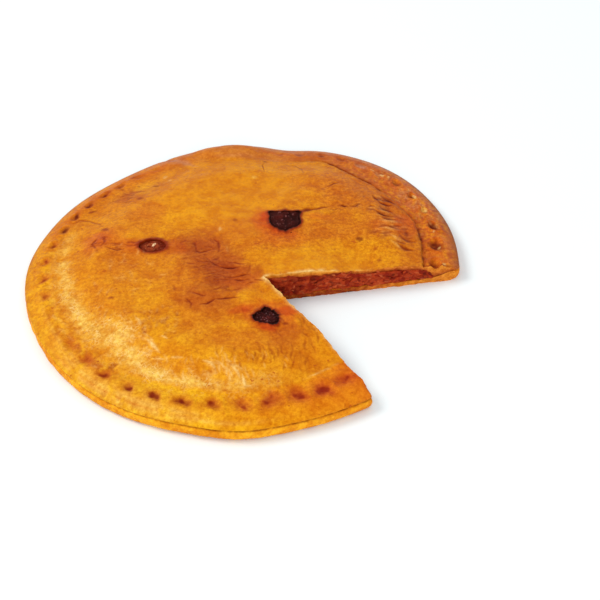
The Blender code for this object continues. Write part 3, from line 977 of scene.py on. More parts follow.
def line_profile(x, y, places, half_width):
    """1 on a line through places, falling to 0 beside it and thinning out at both ends."""
    places = np.array(places) * MM
    half_width = half_width * MM
    low = places.min(axis=0) - 3 * half_width
    high = places.max(axis=0) + 3 * half_width
    close = (x > low[0]) & (x < high[0]) & (y > low[1]) & (y < high[1])
    near_x, near_y = x[close], y[close]
    best = np.zeros_like(near_x)
    last = len(places) - 1
    for index in range(last):
        away, share = segment_distance(near_x, near_y, places[index], places[index + 1])
        fullness = np.sin((index + share) / last * math.pi)
        width = half_width * (0.35 + 0.65 * fullness)
        best = np.maximum(best, hill(away / width) * (0.4 + 0.6 * fullness))
    profile = np.zeros_like(x)
    profile[close] = best
    return profile


def bent_line(draw, middle, heading, length):
    """Five places along a slightly bent line."""
    bend = draw.uniform(-1, 1) * length * 0.18
    wave = draw.uniform(-1, 1) * length * 0.06
    places = []
    for step in range(5):
        share = step / 4 - 0.5
        run = share * length
        side = bend * (1 - 4 * share * share) + wave * math.sin(share * 9)
        x = middle[0] + run * math.cos(heading) - side * math.sin(heading)
        y = middle[1] + run * math.sin(heading) + side * math.cos(heading)
        places.append((x, y))
    return places


def small_wrinkles(x, y):
    """Depth, dark troughs and pale crests of the groups of small wrinkles."""
    draw = random.Random(WRINKLE_SEED)
    depth = np.zeros_like(x)
    dark = np.zeros_like(x)
    pale = np.zeros_like(x)
    for group in WRINKLES:
        _, middle, spread, turn, heading, varies, count, lengths, width, deep, dim, light = group
        turned = math.radians(turn)
        for _ in range(count):
            along = draw.gauss(0, 0.55) * spread[0]
            across = draw.gauss(0, 0.55) * spread[1]
            place = (
                middle[0] + along * math.cos(turned) - across * math.sin(turned),
                middle[1] + along * math.sin(turned) + across * math.cos(turned),
            )
            towards = math.radians(heading + draw.uniform(-varies, varies))
            line = bent_line(draw, place, towards, draw.uniform(*lengths))
            strength = draw.uniform(0.4, 1.0)
            profile = line_profile(x, y, line, width * draw.uniform(0.8, 1.25)) * strength
            if dim >= light:
                depth = depth + deep * MM * profile
                dark = np.maximum(dark, dim * profile)
                crest = [(line_x, line_y + 1.4) for line_x, line_y in line]
                profile = strength * line_profile(x, y, crest, width)
            else:
                depth = depth - deep * MM * profile
            pale = np.maximum(pale, light * profile)
    return depth, dark, pale


def named_lines(x, y):
    """Depth, dark troughs, pale crests and mauve folds of the lines that are named one by one."""
    depth = np.zeros_like(x)
    dark = np.zeros_like(x)
    pale = np.zeros_like(x)
    mauve = np.zeros_like(x)
    for places, width, deep, strength in DARK_LINES:
        profile = line_profile(x, y, places, width)
        depth = depth + deep * MM * profile
        dark = np.maximum(dark, strength * profile)
    for places, width, high, strength in PALE_LINES:
        profile = line_profile(x, y, places, width)
        depth = depth - high * MM * profile
        pale = np.maximum(pale, strength * profile)
    for places, width, deep, strength in MAUVE_LINES:
        profile = line_profile(x, y, places, width)
        depth = depth + deep * MM * profile
        mauve = np.maximum(mauve, strength * profile)
    return depth, dark, pale, mauve


class LidSurface:
    """Everything that is worked out once for each corner of the lid."""

    def __init__(self, x, y, inward):
        flat = 0 * x
        self.x, self.y, self.inward = x, y, inward
        self.angle = direction_of(x, y)
        line_depth, line_dark, line_pale, self.mauve = named_lines(x, y)
        small_depth, small_dark, small_pale = small_wrinkles(x, y)
        self.wrinkle = line_depth + small_depth
        self.dark = np.maximum(line_dark, small_dark)
        self.pale = np.maximum(line_pale, small_pale)
        self.from_vent = vent_edge(x, y)
        self.vent_burn = sum(
            burn * patch_mask(x, y, np.divide(VENTS[name][0], MM), VENT_BURN_REACH, 0, 0)
            for name, burn in VENT_BURNS.items()
        )
        self.slow = noise_at(x, y, flat, SLOW_SIZE, 11)
        self.medium = noise_at(x, y, flat, MEDIUM_SIZE, 12)
        self.fine = noise_at(x, y, flat, FINE_SIZE, 13, octaves=3)
        self.ragged = noise_at(x, y, flat, RAGGED_SIZE, 14, octaves=2)
        self.dimple, self.burnt, self.halo, self.burn_colours = dimple_field(x, y, self.ragged)
        self.foot_softness = by_direction(self.angle, FOOT_SOFTNESS) * MM
        wander = (0.7 * MM + 0.3 * self.foot_softness) * self.medium + 0.6 * MM * self.ragged
        self.from_foot = inward - by_direction(self.angle, DOME_FOOT) * MM - wander
        self.tucked = by_direction(self.angle, CREASES)

    def relief(self):
        """Height added to the lid's upper face."""
        on_dome = smooth(along_slope(self.inward, UNEVEN_SLOPE))
        off_edge = smooth(along_slope(self.inward, EDGE_SLOPE))
        height = SLOW_RISE * self.slow * on_dome + MEDIUM_RISE * self.medium * off_edge
        height = height + FINE_RISE * self.fine * off_edge
        height = height - self.wrinkle - self.dimple
        for middle, halves, turn, high in RAISES:
            raised = patch_mask(self.x, self.y, middle, halves, turn, 0.3 * self.medium)
            height = height + high * MM * raised * off_edge
        groove = hill(self.from_foot / CREASE_WIDTH)
        roll = hill(along_slope(self.from_foot, ROLL_SLOPE))
        height = height + self.tucked * (ROLL_RISE * roll - CREASE_DEPTH * groove)
        step = smooth(along_slope(self.from_foot, STEP_SLOPE))
        fading = np.exp(-np.clip(self.from_foot, 0, None) / STEP_RUN)
        front = smooth(bump(self.angle, *FRONT_SIDE) * 1.6) * (1 - self.tucked)
        height = height + STEP_RISE * step * fading * front
        lip = hill(along_slope(self.from_vent, LIP_SLOPE))
        return height + LIP_RISE * lip * (1 + self.medium)


def patch_mask(x, y, middle, halves, turn, wobble):
    """1 inside an oval patch with a soft, uneven edge."""
    turned = math.radians(turn)
    off_x, off_y = x - middle[0] * MM, y - middle[1] * MM
    along = (off_x * math.cos(turned) + off_y * math.sin(turned)) / (halves[0] * MM)
    across = (off_y * math.cos(turned) - off_x * math.sin(turned)) / (halves[1] * MM)
    return smooth((1.35 - np.hypot(along, across) - 0.5 * wobble) / 0.8)


def reflected(colour):
    """The shares of light that a surface sends back where it is seen in a colour."""
    share = np.array(colour, dtype=float) / 255
    linear = np.where(share <= 0.04045, share / 12.92, ((share + 0.055) / 1.055) ** 2.4)
    return linear / STUDIO_LIGHT


def blended(colours, others, strength):
    """Colours moved towards others by a strength for each corner."""
    strength = np.clip(strength, 0, 1)[:, None]
    return colours * (1 - strength) + others * strength


def mixed(colours, colour, strength):
    """Colours moved towards one seen colour by a strength for each corner."""
    return blended(colours, reflected(colour), strength)


def rim_colours(angle):
    """The flange's colour with its painted light and shade, blended between the named directions."""
    rows = [(direction, *reflected(tone)) for direction, tone in RIM_TONES]
    return np.stack([by_direction(angle, rows, column) for column in (1, 2, 3)], axis=1)


def flange_colours(face):
    """The flange with its smudges, the warm halos round its dimples, and painted shade on its
    outer edge at the far and right sides.
    """
    colours = rim_colours(face.angle)
    for colour, middle, width, distance, half_width, strength in SMUDGES:
        wander = 0.3 * min(half_width, 5) * MM * face.medium
        away = (face.inward - distance * MM + wander) / (half_width * MM)
        mask = bump(face.angle, middle, width) * hill(away) * smooth(0.75 + 0.9 * face.ragged)
        colours = mixed(colours, colour, strength * mask)
    baked = bump(face.angle, *BAKED_SIDE) * smooth(0.45 + 1.4 * face.medium + 0.8 * face.ragged)
    colours = mixed(colours, BROWN, 0.35 * baked)
    mottled = bump(face.angle, *MOTTLED_SIDE)
    colours = mixed(colours, RED_BROWN, 0.35 * mottled * smooth(1.8 * face.fine))
    colours = mixed(colours, GOLD, 0.8 * mottled * smooth(0.2 - 1.8 * face.fine))
    # Painted shade: the flange's outer edge darkened where it turns away at the far side, and wider
    # on the right
    far_side = smooth(1.4 * bump(face.angle, *SHADED_FAR_SIDE))
    far_rim_shade = far_side * smooth(1 - face.inward / (3.5 * MM))
    colours = mixed(colours, RIM_SHADE, 0.8 * far_rim_shade)
    right_rim_shade = bump(face.angle, *SHADED_RIGHT_SIDE) * smooth(1.1 - face.inward / (9 * MM))
    colours = mixed(colours, RIM_SHADE, 0.5 * right_rim_shade)
    return mixed(colours, ORANGE, (0.45 + 0.4 * bump(face.angle, *WARM_SIDE)) * face.halo)


def pale_band(face, wider=1.0):
    """How pale the shoulder of the dome is: partly paler dough, partly a painted highlight."""
    distance, half_width, strength = (
        by_direction(face.angle, PALE_BAND, column) for column in (1, 2, 3)
    )
    away = (face.inward - distance * MM - 2 * MM * face.medium) / (half_width * wider * MM)
    return strength * hill(away)


def dome_colours(face):
    """The dome with its patches and its pale shoulder, which is partly a painted highlight."""
    wobble = 0.7 * face.slow + 0.6 * face.medium + 0.35 * face.ragged
    colours = np.tile(reflected(GOLD), (len(face.x), 1))
    for colour, middle, halves, turn, strength in PATCHES:
        mask = patch_mask(face.x, face.y, middle, halves, turn, wobble)
        colours = mixed(colours, colour, strength * mask)
    # The pale shoulder: partly paler dough, partly a painted highlight
    return mixed(colours, PALE, pale_band(face) * (0.8 + 0.6 * face.medium + 0.8 * face.fine))


def lid_colours(face):
    """The lid's upper face: its baked colour, with painted shade and painted highlights."""
    on_flange = 1 - smooth(0.5 + face.from_foot / (1.2 * face.foot_softness))
    colours = blended(dome_colours(face), flange_colours(face), on_flange)
    # Painted shade in the groove at the dome's foot: red-brown beside it, dark brown in it
    shade = hill((face.from_foot + 0.6 * MM) / (2.2 * MM)) * face.tucked
    colours = mixed(colours, RED_BROWN, 0.6 * shade)
    groove = hill(face.from_foot / (1.1 * MM)) * smooth(1.5 * face.tucked - 0.35)
    colours = mixed(colours, DARK_BROWN, groove * (0.6 + 1.4 * face.ragged))
    # Mauve folds, the first of them a painted shadow under the raised flap
    colours = mixed(colours, MAUVE, face.mauve * (0.85 + 0.5 * face.ragged))
    ring = smooth(1 - (face.from_vent - 0.6 * MM - 1.2 * MM * face.ragged) / (2.6 * MM))
    colours = mixed(colours, RED_BROWN, ring)
    black = smooth(1 - (face.from_vent - 0.6 * MM * face.ragged) / (0.9 * MM))
    colours = mixed(colours, CHAR, black * face.vent_burn)
    colours = blended(colours, face.burn_colours, face.burnt)
    colours = mixed(colours, RED_BROWN, 0.75 * smooth(1.6 * face.dark))
    colours = mixed(colours, DARK_BROWN, 0.9 * smooth((face.dark - 0.45) / 0.55))
    # Freckles, and painted highlights beside the right flange's dimples
    for colour, middle, halves, turn, strength in FRECKLES_AND_HIGHLIGHTS:
        mask = patch_mask(face.x, face.y, middle, halves, turn, 0.6 * face.fine)
        colours = mixed(colours, colour, strength * mask)
    colours = mixed(colours, CREAM, 0.8 * face.pale)
    return cut_edge_colours(face, colours)


def cut_edge_colours(face, colours):
    """A painted highlight in a thin pale line along both cuts' upper edges, and a burnt line where
    the cuts reach the rim."""
    for direction, gleams in ((FAR_CUT, FAR_EDGE_GLEAM), (NEAR_CUT, NEAR_EDGE_GLEAM)):
        along, across = cut_offsets(face.x, face.y, direction)
        places = [place * MM for place, _ in gleams]
        gleam = np.interp(along, places, [strength for _, strength in gleams]) * (along > 0)
        line = hill(across / ((0.8 + 1.0 * np.clip(gleam, 0, 1)) * MM))
        # The pale line is a painted highlight along the cut's edge
        pale = line * np.clip(gleam, 0, 1) * smooth(0.75 + 1.3 * face.ragged)
        colours = mixed(colours, CREAM, pale)
        burnt = line * np.clip(-gleam, 0, 1) * smooth(0.5 + 1.6 * face.ragged)
        colours = mixed(colours, RED_BROWN, burnt)
    return colours


def inner(share, level):
    """A corner of a section in the pie's inner part, by its share of the way to the rim zone."""
    return share, level


def rim(distance, level):
    """A corner of a section in the rim zone, by its distance in from the outline."""
    return 2 - distance / RIM_ZONE, level


def steps_between(start, end, count):
    return [start + (end - start) * step / count for step in range(count + 1)]


def top_rows(inner_steps, rim_steps, last):
    """The rows of a sheet's upper face, from the tip to a distance in from the outline."""
    rows = [inner(share, 1) for share in steps_between(0, 1, inner_steps)]
    return rows + [rim(distance, 1) for distance in steps_between(RIM_ZONE, last, rim_steps)[1:]]


def wall_columns(inner_steps, rim_steps, last):
    """The shares at which a cut's wall is divided."""
    return [share for share, _ in top_rows(inner_steps, rim_steps, last)[1:]]


def laid_out(section, steps):
    """A section repeated from one cut to the other in a plain space, with the share of the way
    out along X, the turn along Y and the level in the sheet along Z."""
    shape = bmesh.new()
    last = len(section) - 1
    bmesh.ops.create_grid(shape, x_segments=last, y_segments=steps, size=1)
    for vert in shape.verts:
        share, level = section[round((vert.co.x + 1) / 2 * last)]
        turn = round((vert.co.y + 1) / 2 * steps) / steps * SWEEP
        vert.co = (share, turn, level)
    return shape


def bisected(shape, faces, place, normal):
    """The faces that a plane makes of some faces."""
    corners = {vert for face in faces for vert in face.verts}
    edges = {edge for face in faces for edge in face.edges}
    cut = bmesh.ops.bisect_plane(
        shape, geom=[*corners, *edges, *faces], dist=1e-5, plane_co=place, plane_no=normal
    )
    return [part for part in cut["geom"] if isinstance(part, bmesh.types.BMFace)]


def close_cut(shape, turn, columns, rows):
    """Closes a sheet at a cut by a wall, in columns at the shares given and in even rows."""
    ends = {vert for vert in shape.verts if abs(vert.co.y - turn) < TINY}
    sides = [edge for edge in shape.edges if ends.issuperset(edge.verts)]
    tip_edge = shape.edges.new([vert for vert in ends if vert.co.x < TINY])
    wall = bmesh.ops.contextual_create(shape, geom=sides + [tip_edge])["faces"]
    faces = []
    for share in columns:
        halves = bisected(shape, wall, (share, 0, 0), (1, 0, 0))
        halves.sort(key=lambda face: face.calc_center_median().x)
        faces += halves[:-1]
        wall = halves[-1:]
    faces += wall
    for row in range(1, rows):
        faces = bisected(shape, faces, (0, 0, row / rows), (0, 0, 1))
    return faces


def close_both_cuts(shape, columns, rows):
    """Closes a sheet at both cuts and gives the faces of the two walls."""
    walls = []
    for turn in (0, SWEEP):
        walls += close_cut(shape, turn, columns, rows)
    return walls


def make_finer(shape, reaches):
    """Halves the steps round the pie on a sheet's upper face, further out than each reach."""
    for reach in reaches:
        edges = []
        for edge in shape.edges:
            first, second = (vert.co for vert in edge.verts)
            runs_round = abs(first.x - second.x) < TINY and abs(first.z - second.z) < TINY
            if runs_round and first.x > reach and first.z > 0.4:
                edges.append(edge)
        bmesh.ops.subdivide_edges(shape, edges=edges, cuts=1)


def refine_details(shape):
    """Halves the faces of the lid's upper side where a named line, a dimple, the groove or a vent's
    edge crosses them."""
    x, y, inward, level = real_places(np.array([vert.co for vert in shape.verts]))
    angle = direction_of(x, y)
    _, dark, pale, _ = named_lines(x, y)
    dimple = dimple_field(x, y, 0 * x)[0]
    from_foot = np.abs(inward - by_direction(angle, DOME_FOOT) * MM)
    detailed = (np.maximum(dark, pale) > 0.35) | (np.abs(dimple) > 0.45 * MM)
    detailed |= (from_foot < 1 * MM) & (by_direction(angle, CREASES) > 0.3)
    detailed |= np.abs(vent_edge(x, y)) < 0.8 * MM
    shape.verts.index_update()
    edges = set()
    for face in shape.faces:
        corners = [vert.index for vert in face.verts]
        if detailed[corners].any() and (level[corners] > 0.99).all():
            edges.update(face.edges)
    bmesh.ops.subdivide_edges(shape, edges=list(edges), cuts=1, use_grid_fill=True)


def corner_coordinates(mesh):
    places = np.empty(len(mesh.vertices) * 3)
    mesh.vertices.foreach_get("co", places)
    return places.reshape(-1, 3)


def set_corner_coordinates(mesh, places):
    mesh.vertices.foreach_set("co", np.ascontiguousarray(places, dtype=np.float32).ravel())
    mesh.update()


def corner_drop(reach, turn):
    """How far the outline is rounded off beside the two cuts."""
    arc = reach * np.minimum(turn, SWEEP - turn)
    short = np.clip(CORNER_RADIUS - arc, 0, CORNER_RADIUS)
    return CORNER_RADIUS - np.sqrt(CORNER_RADIUS**2 - short**2)


def real_places(places):
    """Plain-space corners as real x and y, distance in from the outline, and level."""
    share, turn, level = places.T
    direction = turn + FAR_CUT
    whole = reach_from_tip(direction)
    drop = corner_drop(whole, turn) * smooth((share - 1.5) / 0.5)
    inside = share * (whole - RIM_ZONE)
    outside = whole - (2 - share) * RIM_ZONE - drop
    x, y = from_tip(np.where(share <= 1, inside, outside), direction)
    return x, y, edge_distance(x, y) - drop, level


def cut_shift(x, y, z, ragged, seed):
    """Sideways moves that make both cuts ragged, fading inside the pie."""
    reach, amount, size = ragged
    shift_x = np.zeros_like(x)
    shift_y = np.zeros_like(y)
    for direction, side in CUT_SIDES:
        along, across = cut_offsets(x, y, direction)
        close = (np.abs(across) < 4 * reach) & (along > -reach)
        value = noise_at(x[close], y[close], z[close], size, seed + side, octaves=3)
        push = amount * value * hill(across[close] / reach)
        shift_x[close] -= math.sin(direction) * side * push
        shift_y[close] += math.cos(direction) * side * push
    return shift_x, shift_y


def as_mesh(name, shape, materials=()):
    mesh = bpy.data.meshes.new(name)
    for material in materials:
        mesh.materials.append(material)
    shape.to_mesh(mesh)
    shape.free()
    return mesh


def close_tip(mesh):
    """Joins the corners that meet at the gap's tip, and turns the faces outwards."""
    shape = bmesh.new()
    shape.from_mesh(mesh)
    bmesh.ops.remove_doubles(shape, verts=shape.verts, dist=TINY)
    bmesh.ops.recalc_face_normals(shape, faces=shape.faces)
    shape.to_mesh(mesh)
    shape.free()


def placed(name, mesh):
    """An object at the origin that rides with the pie."""
    mesh.shade_smooth()
    mesh.set_sharp_from_angle(angle=SHARP_ANGLE)
    piece = bpy.data.objects.new(name, mesh)
    bpy.context.scene.collection.objects.link(piece)
    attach(piece, "root")
    return piece


def store_colours(mesh, name, colours):
    """Keeps a colour for each corner, which the materials read by its name."""
    attribute = mesh.color_attributes.new(name, "FLOAT_COLOR", "POINT")
    values = np.ones((len(mesh.vertices), 4), dtype=np.float32)
    values[:, :3] = colours
    attribute.data.foreach_set("color", values.ravel())


def store_numbers(mesh, name, numbers):
    attribute = mesh.attributes.new(name, "FLOAT", "POINT")
    attribute.data.foreach_set("value", np.asarray(numbers, dtype=np.float32))


def add(tree, kind, inputs=None, **settings):
    """A node with its settings, and its inputs given as values or as the sockets they follow."""
    made = tree.nodes.new(kind)
    for name, value in settings.items():
        setattr(made, name, value)
    for name, value in (inputs or {}).items():
        if isinstance(value, bpy.types.NodeSocket):
            tree.links.new(value, made.inputs[name])
        else:
            made.inputs[name].default_value = value
    return made


def mix_colour(tree, factor, first, second, blend="MIX"):
    """Mixes two colours, each a socket or a linear colour."""
    made = tree.nodes.new("ShaderNodeMix")
    made.data_type = "RGBA"
    made.blend_type = blend
    for index, value in ((0, factor), (6, first), (7, second)):
        if isinstance(value, bpy.types.NodeSocket):
            tree.links.new(value, made.inputs[index])
        elif index:
            made.inputs[index].default_value = (*value, 1)
        else:
            made.inputs[index].default_value = value
    return made.outputs[2]


def toned(tree, colour, factors):
    """A colour with its red, green and blue multiplied by factors."""
    return mix_colour(tree, 1.0, colour, factors, "MULTIPLY")


def multiplied(tree, first, second):
    return add(tree, "ShaderNodeMath", {0: first, 1: second}, operation="MULTIPLY").outputs[0]


def ranged(tree, value, low, high, to_low=0.0, to_high=1.0):
    """Carries a value from one range to another and stops at its ends."""
    inputs = {"Value": value, "From Min": low, "From Max": high, "To Min": to_low, "To Max": to_high}
    return add(tree, "ShaderNodeMapRange", inputs, interpolation_type="SMOOTHSTEP").outputs[0]


def noise_node(tree, place, size, detail=2.0, rough=0.5, distortion=0.0):
    """Noise with features of a size in metres."""
    inputs = {
        "Vector": place,
        "Scale": 1 / size,
        "Detail": detail,
        "Roughness": rough,
        "Distortion": distortion,
    }
    return add(tree, "ShaderNodeTexNoise", inputs).outputs["Fac"]


def stretched(tree, place, turn, stretch):
    """Places turned about +Z and then drawn out along one direction."""
    inputs = {"Vector": place, "Rotation": (0, 0, math.radians(turn)), "Scale": (1 / stretch, 1, 1)}
    return add(tree, "ShaderNodeMapping", inputs).outputs[0]


def attribute(tree, name, output="Fac"):
    return add(tree, "ShaderNodeAttribute", attribute_name=name).outputs[output]


def new_material(name, roughness, specular, gloss_tint=(1.0, 0.72, 0.36)):
    """A material with its tree, its shader and its object coordinates."""
    material = bpy.data.materials.new(name)
    material.use_nodes = True
    tree = material.node_tree
    shader = tree.nodes["Principled BSDF"]
    shader.inputs["Roughness"].default_value = roughness
    shader.inputs["Specular IOR Level"].default_value = specular
    shader.inputs["Specular Tint"].default_value = (*gloss_tint, 1)
    place = add(tree, "ShaderNodeTexCoord").outputs["Object"]
    return material, tree, shader, place


def set_bump(tree, shader, layers):
    """Chains bumps, each given as a height socket and its depth in metres."""
    normal = None
    for height, depth in layers:
        inputs = {"Height": height, "Distance": depth, "Strength": 1.0}
        if normal is not None:
            inputs["Normal"] = normal
        normal = add(tree, "ShaderNodeBump", inputs).outputs[0]
    tree.links.new(normal, shader.inputs["Normal"])


def hair_cracks(tree, place, spacing):
    """Thin broken lines between cells of a spacing, 1 on a line."""
    warp = add(tree, "ShaderNodeTexNoise", {"Vector": place, "Scale": 1 / (3.8 * MM)})
    shifted = add(tree, "ShaderNodeMix", data_type="VECTOR")
    shifted.inputs[0].default_value = 0.006
    tree.links.new(place, shifted.inputs[4])
    tree.links.new(warp.outputs["Color"], shifted.inputs[5])
    inputs = {"Vector": shifted.outputs[1], "Scale": 1 / spacing}
    cells = add(tree, "ShaderNodeTexVoronoi", inputs, feature="DISTANCE_TO_EDGE")
    broken = ranged(tree, noise_node(tree, place, 5 * MM, 2.0), 0.42, 0.58)
    return multiplied(tree, ranged(tree, cells.outputs["Distance"], 0.11, 0.02), broken)


def speckled(tree, colour, grain, strength):
    """A colour with the crust's fine speckle, which follows a grain."""
    shade = mix_colour(tree, ranged(tree, grain, 0.30, 0.70), SPECK_DARK, SPECK_LIGHT)
    return mix_colour(tree, strength, colour, shade, "MULTIPLY")


def patchy(tree, tint, blotch, patch):
    """A tint with richer and lighter patches, both wide ones and small ones."""
    richer = toned(tree, tint, (0.88, 0.74, 0.56))
    lighter = toned(tree, tint, (1.07, 1.18, 1.35))
    colour = mix_colour(tree, ranged(tree, blotch, 0.36, 0.56), richer, tint)
    colour = mix_colour(tree, ranged(tree, blotch, 0.50, 0.68, 0, 0.7), colour, lighter)
    colour = mix_colour(tree, ranged(tree, patch, 0.50, 0.32, 0, 0.5), colour, richer)
    return mix_colour(tree, ranged(tree, patch, 0.54, 0.70, 0, 0.6), colour, lighter)


def scorched(tree, colour, grain):
    """A colour that darkens, grain by grain, where the oven burnt the lid."""
    uneven = add(tree, "ShaderNodeMath", {0: attribute(tree, "scorch"), 1: grain}, operation="ADD")
    sound = ranged(tree, uneven.outputs[0], 1.34, 1.06)
    return mix_colour(tree, sound, toned(tree, colour, (0.66, 0.44, 0.36)), colour)


def crust_material():
    """Egg-washed lid: warm and light patches, a fine speckle, pale hair cracks, brown freckles."""
    material, tree, shader, place = new_material("crust_glaze", 0.5, 0.12, (1.0, 0.7, 0.3))
    speckle = attribute(tree, "speckle")
    blotch = noise_node(tree, place, 11 * MM, 3.0, 0.55, 0.3)
    patch = noise_node(tree, place, 4.4 * MM, 3.0, 0.6, 0.4)
    grain = noise_node(tree, place, 2.2 * MM, 5.0, 0.8)
    fleck = noise_node(tree, place, 1.8 * MM, 2.0, 0.6)
    colour = patchy(tree, attribute(tree, "tint", "Color"), blotch, patch)
    colour = speckled(tree, colour, grain, speckle)
    dotted = multiplied(tree, ranged(tree, fleck, 0.60, 0.72, 0, 0.6), speckle)
    colour = mix_colour(tree, dotted, colour, toned(tree, colour, (0.68, 0.52, 0.42)))
    colour = scorched(tree, colour, grain)
    freckled = ranged(tree, noise_node(tree, place, 3.4 * MM, 1.0, 0.4), 0.735, 0.77, 0, 0.7)
    colour = mix_colour(tree, freckled, colour, reflected(BROWN))
    hair = multiplied(tree, hair_cracks(tree, place, 2.6 * MM), attribute(tree, "crackle"))
    colour = mix_colour(tree, hair, colour, reflected(CREAM))
    tree.links.new(colour, shader.inputs["Base Color"])
    tree.links.new(ranged(tree, grain, 0.35, 0.65, 0.42, 0.6), shader.inputs["Roughness"])
    layers = (
        (blotch, 0.35 * MM),
        (patch, 0.25 * MM),
        (grain, 0.17 * MM),
        (fleck, 0.08 * MM),
    )
    set_bump(tree, shader, layers)
    return material


def dough_material():
    """The inside of the dough where a cut shows it: pale crumb, stained beside the filling."""
    material, tree, shader, place = new_material("dough_cut", 0.75, 0.15)
    crumb = noise_node(tree, place, 3.0 * MM, 4.0, 0.65)
    layers = noise_node(tree, stretched(tree, place, 10, 6), 1.2 * MM, 2.0)
    ramp = add(tree, "ShaderNodeValToRGB", {"Fac": attribute(tree, "level")})
    while len(ramp.color_ramp.elements) < len(DOUGH_TONES):
        ramp.color_ramp.elements.new(0.5)
    for element, (position, colour) in zip(ramp.color_ramp.elements, DOUGH_TONES):
        element.position = position
        element.color = (*reflected(colour), 1)
    darker = toned(tree, ramp.outputs["Color"], (0.80, 0.66, 0.5))
    paler = toned(tree, ramp.outputs["Color"], (1.12, 1.14, 1.3))
    colour = mix_colour(tree, ranged(tree, crumb, 0.40, 0.62), darker, paler)
    tree.links.new(colour, shader.inputs["Base Color"])
    set_bump(tree, shader, ((crumb, 0.8 * MM), (layers, 0.25 * MM)))
    return material


def base_material():
    """The rim's band and the underside: baked, slightly floury, browner where it met the tray."""
    material, tree, shader, place = new_material("base_bake", 0.62, 0.12)
    tint = attribute(tree, "tint", "Color")
    blotch = noise_node(tree, place, 9 * MM, 3.0, 0.6)
    grain = noise_node(tree, place, 2.2 * MM, 5.0, 0.8)
    richer = toned(tree, tint, (0.84, 0.68, 0.52))
    lighter = toned(tree, tint, (1.06, 1.18, 1.5))
    colour = mix_colour(tree, ranged(tree, blotch, 0.36, 0.64), richer, lighter)
    tree.links.new(speckled(tree, colour, grain, 0.7), shader.inputs["Base Color"])
    set_bump(tree, shader, ((blotch, 0.4 * MM), (grain, 0.25 * MM)))
    return material


def filling_material():
    """Moist flaked fish in tomato: red-brown flakes, pinkish ones, darker between them."""
    material, tree, shader, place = new_material("tuna_filling", 0.5, 0.12, (1.0, 0.5, 0.3))
    tone = attribute(tree, "tone")
    flake = noise_node(tree, stretched(tree, place, 20, 2), 5 * MM, 3.0, 0.5, 0.6)
    grain = noise_node(tree, place, 2.0 * MM, 3.0, 0.6)
    dark = reflected(FILLING_DARK)
    colour = mix_colour(tree, ranged(tree, flake, 0.38, 0.58), dark, reflected(FILLING_RED))
    light = multiplied(tree, ranged(tree, flake, 0.52, 0.68), ranged(tree, tone, 0.4, 0.8))
    colour = mix_colour(tree, light, colour, reflected(FILLING_PINK))
    colour = mix_colour(tree, ranged(tree, grain, 0.46, 0.34, 0, 0.3), colour, dark)
    colour = mix_colour(tree, ranged(tree, tone, 0.35, 0.0, 0, 0.7), colour, dark)
    tree.links.new(colour, shader.inputs["Base Color"])
    tree.links.new(ranged(tree, grain, 0.3, 0.7, 0.4, 0.6), shader.inputs["Roughness"])
    set_bump(tree, shader, ((flake, 0.4 * MM), (grain, 0.08 * MM)))
    return material


def tinted_material(name, roughness, specular, grain_size):
    """Small pieces that each carry their own colour, darker in their grain."""
    material, tree, shader, place = new_material(name, roughness, specular, (1.0, 0.6, 0.4))
    tint = attribute(tree, "tint", "Color")
    grain = noise_node(tree, place, grain_size, 3.0, 0.6)
    darker = toned(tree, tint, (0.62, 0.48, 0.4))
    colour = mix_colour(tree, ranged(tree, grain, 0.34, 0.54), darker, tint)
    tree.links.new(colour, shader.inputs["Base Color"])
    rough = ranged(tree, grain, 0.35, 0.7, roughness - 0.1, roughness + 0.15)
    tree.links.new(rough, shader.inputs["Roughness"])
    set_bump(tree, shader, ((grain, 0.2 * grain_size),))
    return material


def vent_plug(name, vent):
    """A plug of a vent's ragged outline, tall enough to pass through the lid."""
    (middle_x, middle_y), (half_width, half_length), _, _ = vent
    shape = bmesh.new()
    bmesh.ops.create_cone(
        shape, cap_ends=True, segments=PLUG_SIDES, radius1=1, radius2=1, depth=PLUG_HEIGHT
    )
    mesh = as_mesh(name, shape)
    across, along, z = corner_coordinates(mesh).T
    reach = vent_reach(across, along, vent)
    x = middle_x + across * reach * half_width
    y = middle_y + along * reach * half_length
    z = z + lid_top_at((middle_x, middle_y)) + PLUG_RISE
    set_corner_coordinates(mesh, np.stack([x, y, z], axis=1))
    return bpy.data.objects.new(name, mesh)


def applied(piece):
    """A piece's mesh with its modifiers applied."""
    bpy.context.view_layer.update()
    graph = bpy.context.evaluated_depsgraph_get()
    return bpy.data.meshes.new_from_object(piece.evaluated_get(graph))


def cut_vents(mesh):
    """The lid's mesh with the three vents cut through it."""
    lid = bpy.data.objects.new("lid_blank", mesh)
    bpy.context.scene.collection.objects.link(lid)
    plugs = []
    for name, vent in VENTS.items():
        plug = vent_plug(f"vent_{name}", vent)
        bpy.context.scene.collection.objects.link(plug)
        plugs.append(plug)
        cut = lid.modifiers.new(name, "BOOLEAN")
        cut.operation = "DIFFERENCE"
        cut.object = plug
        cut.solver = "EXACT"
    made = applied(lid)
    for old in [lid, *plugs]:
        bpy.data.objects.remove(old)
    return made


def mark_inside(shape, walls, lower_too):
    """Gives the cuts, and the lower face where it is dough too, the second material."""
    inside = set(walls)
    for face in shape.faces:
        lower = lower_too and all(vert.co.z < TINY for vert in face.verts)
        face.material_index = 1 if lower or face in inside else 0


